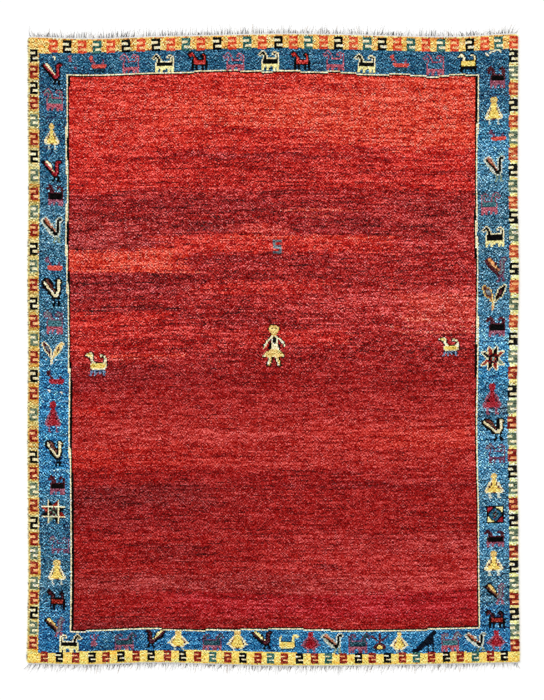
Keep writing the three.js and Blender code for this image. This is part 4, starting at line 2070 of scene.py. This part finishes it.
@dataclass
class RimTufts:
    """The tufts of the outermost knots, which lean out over the selvedges and the end strips.

    Args:
        plan: the rug's plan.
        dyes: the display colour of every knot.
        root: the height where a tuft leaves the foundation.
        tip: the height of a cut tip.
        half_width: half a tuft's width.
        overhang: how far the tips lean out at each edge.
        sway: how far they lean along it.
        tip_stray: how much their height varies.
        second_rise: how much higher the inner row's tips are.
        seed: the seed of the unevenness.
    """

    plan: RugPlan
    dyes: np.ndarray
    root: float = 3.2 * MM
    tip: float = 10.2 * MM
    half_width: float = 2.1 * MM
    overhang: dict[Edge, float] = field(
        default_factory=lambda: {
            Edge.LEFT: 1.2 * MM,
            Edge.RIGHT: 5.0 * MM,
            Edge.TOP: 1.6 * MM,
            Edge.BOTTOM: 1.4 * MM,
        }
    )
    sway: float = 0.5 * MM
    tip_stray: float = 0.35 * MM
    second_rise: float = 0.9 * MM
    seed: int = 21

    def build(self, material: Material) -> Object:
        """Builds the tufts of all four edges as one piece.

        Args:
            material: the yarn's finish.

        Returns:
            The piece.
        """
        strand = Strand.model(4, 2)
        rng = np.random.default_rng(self.seed)
        points = []
        dyes = []
        for edge in Edge:
            for inwards in (0.25, 1.1):
                placed, coloured = self.row(edge, inwards, strand, rng)
                points.append(placed)
                dyes.append(coloured)
        piece = strand.copies("rim_tufts", np.concatenate(points), np.concatenate(dyes))
        piece.data.materials.append(material)
        shade(piece, 50.0)
        return piece

    def row(
        self, edge: Edge, inwards: float, strand: Strand, rng: Generator
    ) -> tuple[np.ndarray, np.ndarray]:
        """Places one row of tufts along an edge.

        Args:
            edge: the edge.
            inwards: how far in from the edge the row stands, in knots.
            strand: the modelled tuft.
            rng: the source of the unevenness.

        Returns:
            The points and the display colours of the row's tufts, with painted shade towards their roots.
        """
        side, end = edge.value
        count = self.plan.rows if side else self.plan.columns
        along = np.arange(count) + 0.5
        if side:
            column = np.full(count, inwards if side < 0 else self.plan.columns - inwards)
            row = along
        else:
            column = along
            row = np.full(count, inwards if end > 0 else self.plan.rows - inwards)
        foot = self.plan.place(column, row)
        knot_row = np.clip(row, 0, self.plan.rows - 1).astype(int)
        knot_column = np.clip(column, 0, self.plan.columns - 1).astype(int)
        dye = self.dyes[knot_row, knot_column]
        outwards = np.array([side, end], dtype=float)
        sideways = np.array([-end, side], dtype=float)
        lean = self.overhang[edge] * (1.25 - inwards) * (0.75 + 0.5 * rng.random(count))
        sway = rng.standard_normal(count) * self.sway
        tip = self.tip + rng.standard_normal(count) * self.tip_stray
        tip += self.second_rise if inwards > 1 else 0.0
        reach = strand.reach[None, :]
        angle = strand.round_turns[None, :] * 2 * math.pi + math.pi / 4
        half = self.half_width * np.interp(strand.reach, [0, 0.5, 1], [0.8, 1.05, 1.0])[None, :]
        swell = half * (0.9 + 0.25 * rng.random((count, 1)))
        out = lean[:, None] * reach**1.6 + swell * np.cos(angle) * 1.1
        aside = sway[:, None] * reach + swell * np.sin(angle) * 1.25
        flat = foot[:, None, :] + out[..., None] * outwards + aside[..., None] * sideways
        height = self.root + (tip[:, None] - self.root) * reach - np.abs(out) * 0.25 * reach
        # painted shade: each tuft's colour darkens towards its root
        painted_shade_towards_root = np.interp(strand.reach, [0, 0.5, 1], [0.55, 0.8, 1.0])[None, :, None]
        return np.concatenate([flat, height[..., None]], axis=-1), dye[:, None, :] * painted_shade_towards_root


@dataclass
class Selvedge:
    """An overcast selvedge: the side warps wrapped round with yarn.

    Args:
        plan: the rug's plan.
        side: -1 for the left edge and 1 for the right one.
        dye: the wrapping yarn's display colour.
        dark_share: how many of the wraps are darker.
        dark_tone: how light those wraps are beside the rest.
        tone_stray: how much the wraps' light varies.
        swell_stray: how much their thickness varies.
        pitch: the distance from one wrap to the next.
        gap: the gap to the body.
        reach: how far out the selvedge reaches from the body.
        height: its height.
        slant: how far a wrap leans along the edge as it passes over.
        sides: how many points round each ring.
    """

    plan: RugPlan
    side: int
    dye: tuple[int, int, int]
    dark_share: float
    dark_tone: float = 0.55
    tone_stray: float = 0.09
    swell_stray: float = 0.035
    pitch: float = 3.6 * MM
    gap: float = 0.3 * MM
    reach: float = 6.4 * MM
    height: float = 7.6 * MM
    slant: float = 2.6 * MM
    sides: int = 10

    @property
    def name(self) -> str:
        """The piece's name."""
        return "overcast_left" if self.side < 0 else "overcast_right"

    def build(self, material: Material) -> Object:
        """Builds the selvedge from a grid that is rolled into a ridged sleeve.

        Args:
            material: the yarn's finish.

        Returns:
            The selvedge.
        """
        wraps = int(self.plan.length / self.pitch)
        rings = wraps * 3
        piece, turn, ring = add_grid(self.name, self.sides, rings)
        rng = np.random.default_rng(31 + self.side)
        swell = 1.0 + rng.standard_normal(wraps + 1) * self.swell_stray
        share = ring / rings
        wrap = np.minimum(ring // 3, wraps).astype(int)
        ridge = np.where(ring % 3 == 0, 0.9, 1.0) * swell[wrap]
        angle = turn / self.sides * 2 * math.pi
        edge = self.plan.side_points(self.side, share) + self.plan.shift()
        middle_out = self.gap + self.reach / 2
        out = middle_out + (self.reach / 2) * ridge * np.cos(angle)
        up = self.height / 2 + (self.height / 2) * ridge * np.sin(angle)
        lean = self.slant * 0.5 * np.cos(angle) * np.clip(np.minimum(share, 1 - share) * 60.0, 0.0, 1.0)
        x = edge[:, 0] + self.side * np.maximum(out, self.gap)
        y = edge[:, 1] + lean
        write_points(piece.data, np.column_stack([x, y, np.maximum(up, 0.05 * MM)]))
        keep_lattice(piece.data, np.stack([turn / self.sides, ring / 3.0], axis=1))
        self.close(piece)
        self.dress(piece.data, wraps, rng)
        piece.data.materials.append(material)
        shade(piece, 70.0)
        return piece

    @staticmethod
    def close(piece: Object) -> None:
        """Welds the sleeve's seam and fills its two ends."""
        bpy.ops.object.mode_set(mode="EDIT")
        bpy.ops.mesh.select_all(action="SELECT")
        bpy.ops.mesh.remove_doubles(threshold=0.02 * MM)
        bpy.ops.mesh.fill_holes(sides=0)
        bpy.ops.object.mode_set(mode="OBJECT")
        point_outwards(piece)

    def dress(self, mesh: Mesh, wraps: int, rng: Generator) -> None:
        """Writes the selvedge's maps and dyes, with a wrap here and there darker."""
        corners = Corners(mesh)
        turns = past_seam(corners.lattice[:, 0], corners.faces)
        middle = corners.middles()[:, 1]
        wrap = np.clip(middle, 0, wraps - 1).astype(int)
        light = 1.0 + rng.standard_normal(wraps) * self.tone_stray
        dark = rng.random(wraps) < self.dark_share
        tones = np.array(self.dye, dtype=float)[None, :] * light[:, None]
        tones[dark] *= self.dark_tone
        write_dyes(mesh, tones[wrap[corners.faces]])
        write_map(mesh, "Along", np.stack([turns, corners.lattice[:, 1]], axis=1))
        folds = 24
        run = corners.lattice[:, 1] / (wraps + 1) * folds
        base = np.clip(np.floor(middle / (wraps + 1) * folds), 0, folds - 1)[corners.faces]
        u = (base + 0.05 + 0.9 * np.clip(turns, 0.0, 1.0)) / folds
        v = 0.02 + 0.94 * np.clip(run - base, 0.0, 1.0)
        v[corners.wide()] = 0.005
        write_map(mesh, "OFBake", np.stack([u, v], axis=1))


@dataclass
class Fringe:
    """One end's flat-woven strip and the loose warps that leave it.

    Args:
        plan: the rug's plan.
        end: 1 for the top end and -1 for the bottom one.
        length: the length of a long warp past the strip.
        usual: how long a usual warp is beside that.
        length_stray: how much the warps' lengths vary.
        length_limits: the shortest and the longest that they get.
        warps: how many warps there are.
        gap: the gap to the body.
        strip_width: the strip's width.
        strip_height: the strip's thickness.
        radius: a warp's radius.
        corner_lean: how far the warps at a corner lean outwards.
        corner_warps: how many warps from a corner lean so.
        sway: how far any warp leans to the side.
        curl: how far a warp bends on its way.
        twist: how far it turns on its way, in radians.
        flatness: how thick it is beside its width.
        slant: how far every warp leans to the right.
        dark_roots: how many of the warps are dark next to the pile.
        dark_wool_and_painted_root_shade: how light a root in dark wool, and, as painted shade, any other
            root is beside its yarn.
        painted_tip_light: how light the tips are beside their yarn, as painted light.
        dark_length: how long the dark warps are beside the rest.
        dark_width: how thick they are.
        wools: the warps' display colours.
        shares: how many of the warps are in each.
        first_dark: the first of them that is dark.
    """

    plan: RugPlan
    end: int
    length: float
    usual: float = 0.72
    length_stray: float = 0.24
    length_limits: tuple[float, float] = (0.3, 1.16)
    warps: int = 430
    gap: float = 0.3 * MM
    strip_width: float = 8.0 * MM
    strip_height: float = 3.0 * MM
    radius: float = 0.85 * MM
    corner_lean: float = 14.0 * MM
    corner_warps: float = 18.0
    sway: float = 6.0 * MM
    curl: float = 1.2 * MM
    twist: float = 9.0
    flatness: float = 0.6
    slant: float = 0.0
    dark_roots: float = 0.3
    dark_wool_and_painted_root_shade: tuple[float, float] = (0.06, 0.92)
    painted_tip_light: float = 1.1
    dark_length: float = 0.6
    dark_width: float = 1.25
    wools: tuple[tuple[int, int, int], ...] = (
        (255, 255, 253), (254, 252, 247), (240, 236, 230), (196, 184, 172), (112, 94, 80), (42, 32, 28),
    )
    shares: tuple[float, ...] = (0.47, 0.18, 0.05, 0.05, 0.12, 0.13)
    first_dark: int = 4

    @property
    def name(self) -> str:
        """The piece's name."""
        return "warp_fringe_top" if self.end > 0 else "warp_fringe_bottom"

    def build(self, material: Material) -> Object:
        """Builds the strip and its warps as one piece.

        Args:
            material: the yarn's finish.

        Returns:
            The fringe.
        """
        rng = np.random.default_rng(41 + self.end)
        strip = self.build_strip(rng)
        warps = self.build_warps(rng)
        select_only(strip, warps)
        warps.data.materials.append(material)
        bpy.ops.object.join()
        piece = bpy.context.active_object
        piece.name = self.name
        piece.data.name = self.name
        shade(piece, 60.0)
        return piece

    def edge_points(self, share: np.ndarray) -> np.ndarray:
        """Points along this end's edge of the body."""
        return self.plan.end_points(self.end, share) + self.plan.shift()

    def build_strip(self, rng: Generator) -> Object:
        """Builds the flat-woven strip from a grid that is rolled into a flat sleeve."""
        across = self.plan.columns
        outs = (0.0, 0.0, 0.12, 0.38, 0.62, 0.86, 1.0, 1.0)
        ups = (0.1, 0.8, 1.0, 0.9, 1.0, 0.86, 0.6, 0.1)
        piece, step, turn = add_grid(f"{self.name}_strip", across, len(outs))
        ring = turn.astype(int) % len(outs)
        edge = self.edge_points(step / across)
        weave = 1.0 + 0.12 * np.sin(step * math.pi * 0.9 + ring * 1.7)
        weave += rng.standard_normal(len(step)) * 0.03
        out = self.gap + self.strip_width * np.array(outs)[ring]
        rise = np.array(ups)[ring]
        up = self.strip_height * np.clip(rise * np.where(rise > 0.5, weave, 1.0), 0.02, 1.1)
        write_points(piece.data, np.column_stack([edge[:, 0], edge[:, 1] + self.end * out, up]))
        keep_lattice(piece.data, np.stack([step, turn], axis=1))
        Selvedge.close(piece)
        corners = Corners(piece.data)
        tone = rng.choice(len(self.wools), size=len(corners.sizes), p=self.shares)
        tones = np.array(self.wools, dtype=float)[tone] * 0.6 + np.array(self.wools[2]) * 0.34
        write_dyes(piece.data, tones[corners.faces])
        along, around = corners.lattice.T
        write_map(piece.data, "Along", np.stack([around / 4.0, along], axis=1))
        baked = np.stack([0.01 + 0.98 * along / across, 0.005 + 0.05 * around / len(outs)], axis=1)
        write_map(piece.data, "OFBake", baked)
        return piece

    def build_warps(self, rng: Generator) -> Object:
        """Builds the loose warps, each a flat two-ply strand that turns as it runs."""
        strand = Strand.model(5, 6)
        count = self.warps
        share = (np.arange(count) + 0.5 + rng.uniform(-0.35, 0.35, count)) / count
        root = self.edge_points(share)
        root[:, 1] += self.end * (self.gap + self.strip_width - 0.8 * MM)
        length = self.usual + self.length_stray * rng.standard_normal(count)
        length = self.length * np.clip(length, *self.length_limits)
        tone = rng.choice(len(self.wools), size=count, p=self.shares)
        dark = tone >= self.first_dark
        length = length * np.where(dark, self.dark_length, 1.0)
        from_edge = np.minimum(share, 1 - share) * count
        outwards = np.where(share < 0.5, -1.0, 1.0)
        lean = outwards * self.corner_lean * np.clip(1 - from_edge / self.corner_warps, 0.0, 1.0)
        drift = np.sin(share * 61.0 + self.end) * 0.6 + rng.standard_normal(count)
        lean = lean + self.slant + self.sway * 0.5 * drift
        reach = strand.reach[None, :]
        curl = rng.standard_normal((count, 1)) * self.curl
        centre_x = root[:, :1] + lean[:, None] * reach**1.4 + curl * np.sin(reach * math.pi * 1.4)
        centre_y = root[:, 1:] + self.end * length[:, None] * reach
        thin = np.interp(strand.reach, [0, 0.15, 0.8, 1.0], [1.1, 1.0, 0.75, 0.35])[None, :]
        radius = self.radius * thin * (0.8 + 0.4 * rng.random((count, 1)))
        radius = radius * np.where(dark[:, None], self.dark_width, 1.0)
        phase = rng.random((count, 1)) * 2 * math.pi
        turn = strand.round_turns[None, :] * 2 * math.pi
        spin = phase + reach * self.twist
        wide = radius * np.cos(turn)
        flat = radius * self.flatness * np.sin(turn)
        lift = radius + np.interp(strand.reach, [0, 0.25, 1.0], [1.5, 0.5, 0.0])[None, :] * MM
        lift = lift + rng.random((count, 1)) * 0.8 * MM * (1 - reach)
        x = centre_x + wide * np.cos(spin) - flat * np.sin(spin)
        z = np.maximum(lift + wide * np.sin(spin) + flat * np.cos(spin), 0.05 * MM)
        points = np.stack([x, np.broadcast_to(centre_y, x.shape), z], axis=-1)
        dye = np.array(self.wools, dtype=float)[tone] * (1 + rng.standard_normal((count, 1)) * 0.04)
        # some roots are in dark wool and the other roots get painted shade; every warp gets painted light
        # towards its tip
        root_dark_wool_and_painted_shade = np.where(rng.random((count, 1)) < self.dark_roots, *self.dark_wool_and_painted_root_shade)
        wool_and_painted_light = root_dark_wool_and_painted_shade + (self.painted_tip_light - root_dark_wool_and_painted_shade) * np.clip(reach / 0.6, 0.0, 1.0) ** 2
        return strand.copies(f"{self.name}_warps", points, dye[:, None, :] * wool_and_painted_light[..., None], shelf=0.07)


@dataclass
class Studio:
    """The plain floor, the soft light and the camera over the rug.

    Args:
        plan: the rug's plan.
        camera_height: how high the camera stands.
        frame_height: how much of the floor the picture shows along Y.
        sky: the strength of the even light from all round.
        lamp: the power of the broad lamp overhead.
    """

    plan: RugPlan
    camera_height: float = 3.6
    frame_height: float = 2.24
    sky: float = 0.74
    lamp: float = 1.5

    def build(self) -> None:
        """Builds the floor, the light and the camera."""
        self.build_floor()
        self.build_light()
        self.build_camera()

    def build_floor(self) -> None:
        """Lays a wide pale floor with a faint grain."""
        deselect_all()
        bpy.ops.mesh.primitive_plane_add(size=40.0, location=(0.0, 0.0, 0.0))
        floor = bpy.context.active_object
        floor.name = "floor"
        material, bench, surface = new_material("Pale floor")
        grain = bench.noise(bench.place(), 40.0, 4.0)
        tone = bench.mix("MIX", grain, (0.93, 0.93, 0.93, 1.0), (0.97, 0.97, 0.97, 1.0))
        bench.feed(surface, Base_Color=tone, Roughness=0.9, Specular_IOR_Level=0.1)
        floor.data.materials.append(material)

    def build_light(self) -> None:
        """Hangs an even sky and one broad lamp."""
        world = bpy.data.worlds.new("Studio sky")
        world.use_nodes = True
        world.node_tree.nodes["Background"].inputs["Color"].default_value = (1.0, 1.0, 1.0, 1.0)
        world.node_tree.nodes["Background"].inputs["Strength"].default_value = self.sky
        bpy.context.scene.world = world
        lamp = bpy.data.lights.new("Soft lamp", "SUN")
        lamp.angle = math.radians(35.0)
        lamp.energy = self.lamp
        holder = bpy.data.objects.new("Soft lamp", lamp)
        aim = Vector((0.5, -0.75, -1.0))
        holder.rotation_euler = aim.to_track_quat("-Z", "Y").to_euler()
        bpy.context.scene.collection.objects.link(holder)
        bpy.context.scene.view_settings.view_transform = "Standard"

    def build_camera(self) -> None:
        """Stands the camera straight over the rug's design centre."""
        middle = self.plan.shift()
        data = bpy.data.cameras.new("Camera")
        data.sensor_fit = "VERTICAL"
        data.sensor_height = 24.0
        data.lens = data.sensor_height * (self.camera_height - 0.011) / self.frame_height
        camera = bpy.data.objects.new("Camera", data)
        camera.location = (middle[0], middle[1], self.camera_height)
        bpy.context.scene.collection.objects.link(camera)
        bpy.context.scene.camera = camera


def report(piece: Object, slot: str, *nodes: str) -> None:
    """Fastens a piece to the body, hides the nodes it stands for, and reports it."""
    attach(piece, BODY)
    if nodes:
        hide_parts(*nodes)
    sizes = face_sizes(piece.data)
    LOG.info("%s: %d triangles", piece.name, int((sizes - 2).sum()))


def main() -> None:
    """Builds the rug from the plan to the fringes, and sets it in the studio."""
    logging.basicConfig(level=logging.INFO, format="%(name)s %(message)s")
    plan = RugPlan()
    dyes, grain = Weaver(plan).weave()
    groups = SharedGroups(heather_group(), knot_group(), ply_group())
    for panel in Pile(plan, dyes, grain).build(groups):
        report(panel, "pile", "rug_body")
    back = WovenBack(plan, dyes).build(groups)
    report(back, "pile", "rug_body")
    tuft_yarn = YarnFinish("Tuft ends", plies=2.0, painted_groove_shade=0.3).make(groups)
    tufts = RimTufts(plan, dyes).build(tuft_yarn)
    report(tufts, "pile", "rug_body")
    wrap_yarn = YarnFinish("Overcast yarn", plies=1.0, painted_groove_shade=0.55, relief=0.0006).make(groups)
    for side, node, dye, dark in (
        (-1, "selvedge_left", (246, 238, 196), 0.14),
        (1, "selvedge_right", (248, 228, 160), 0.04),
    ):
        selvedge = Selvedge(plan, side, dye, dark).build(wrap_yarn)
        report(selvedge, "selvedge", node)
    warp_yarn = YarnFinish("Warp yarn", plies=5.0, painted_groove_shade=0.4).make(groups)
    for end, node, length, slant, dark_roots in (
        (1, "fringe_top", 30 * MM, 0.0, 0.5),
        (-1, "fringe_bottom", 28 * MM, -5 * MM, 0.3),
    ):
        fringe = Fringe(plan, end, length, slant=slant, dark_roots=dark_roots).build(warp_yarn)
        report(fringe, "fringe", node)
    Studio(plan).build()


if __name__ == "__main__":
    main()
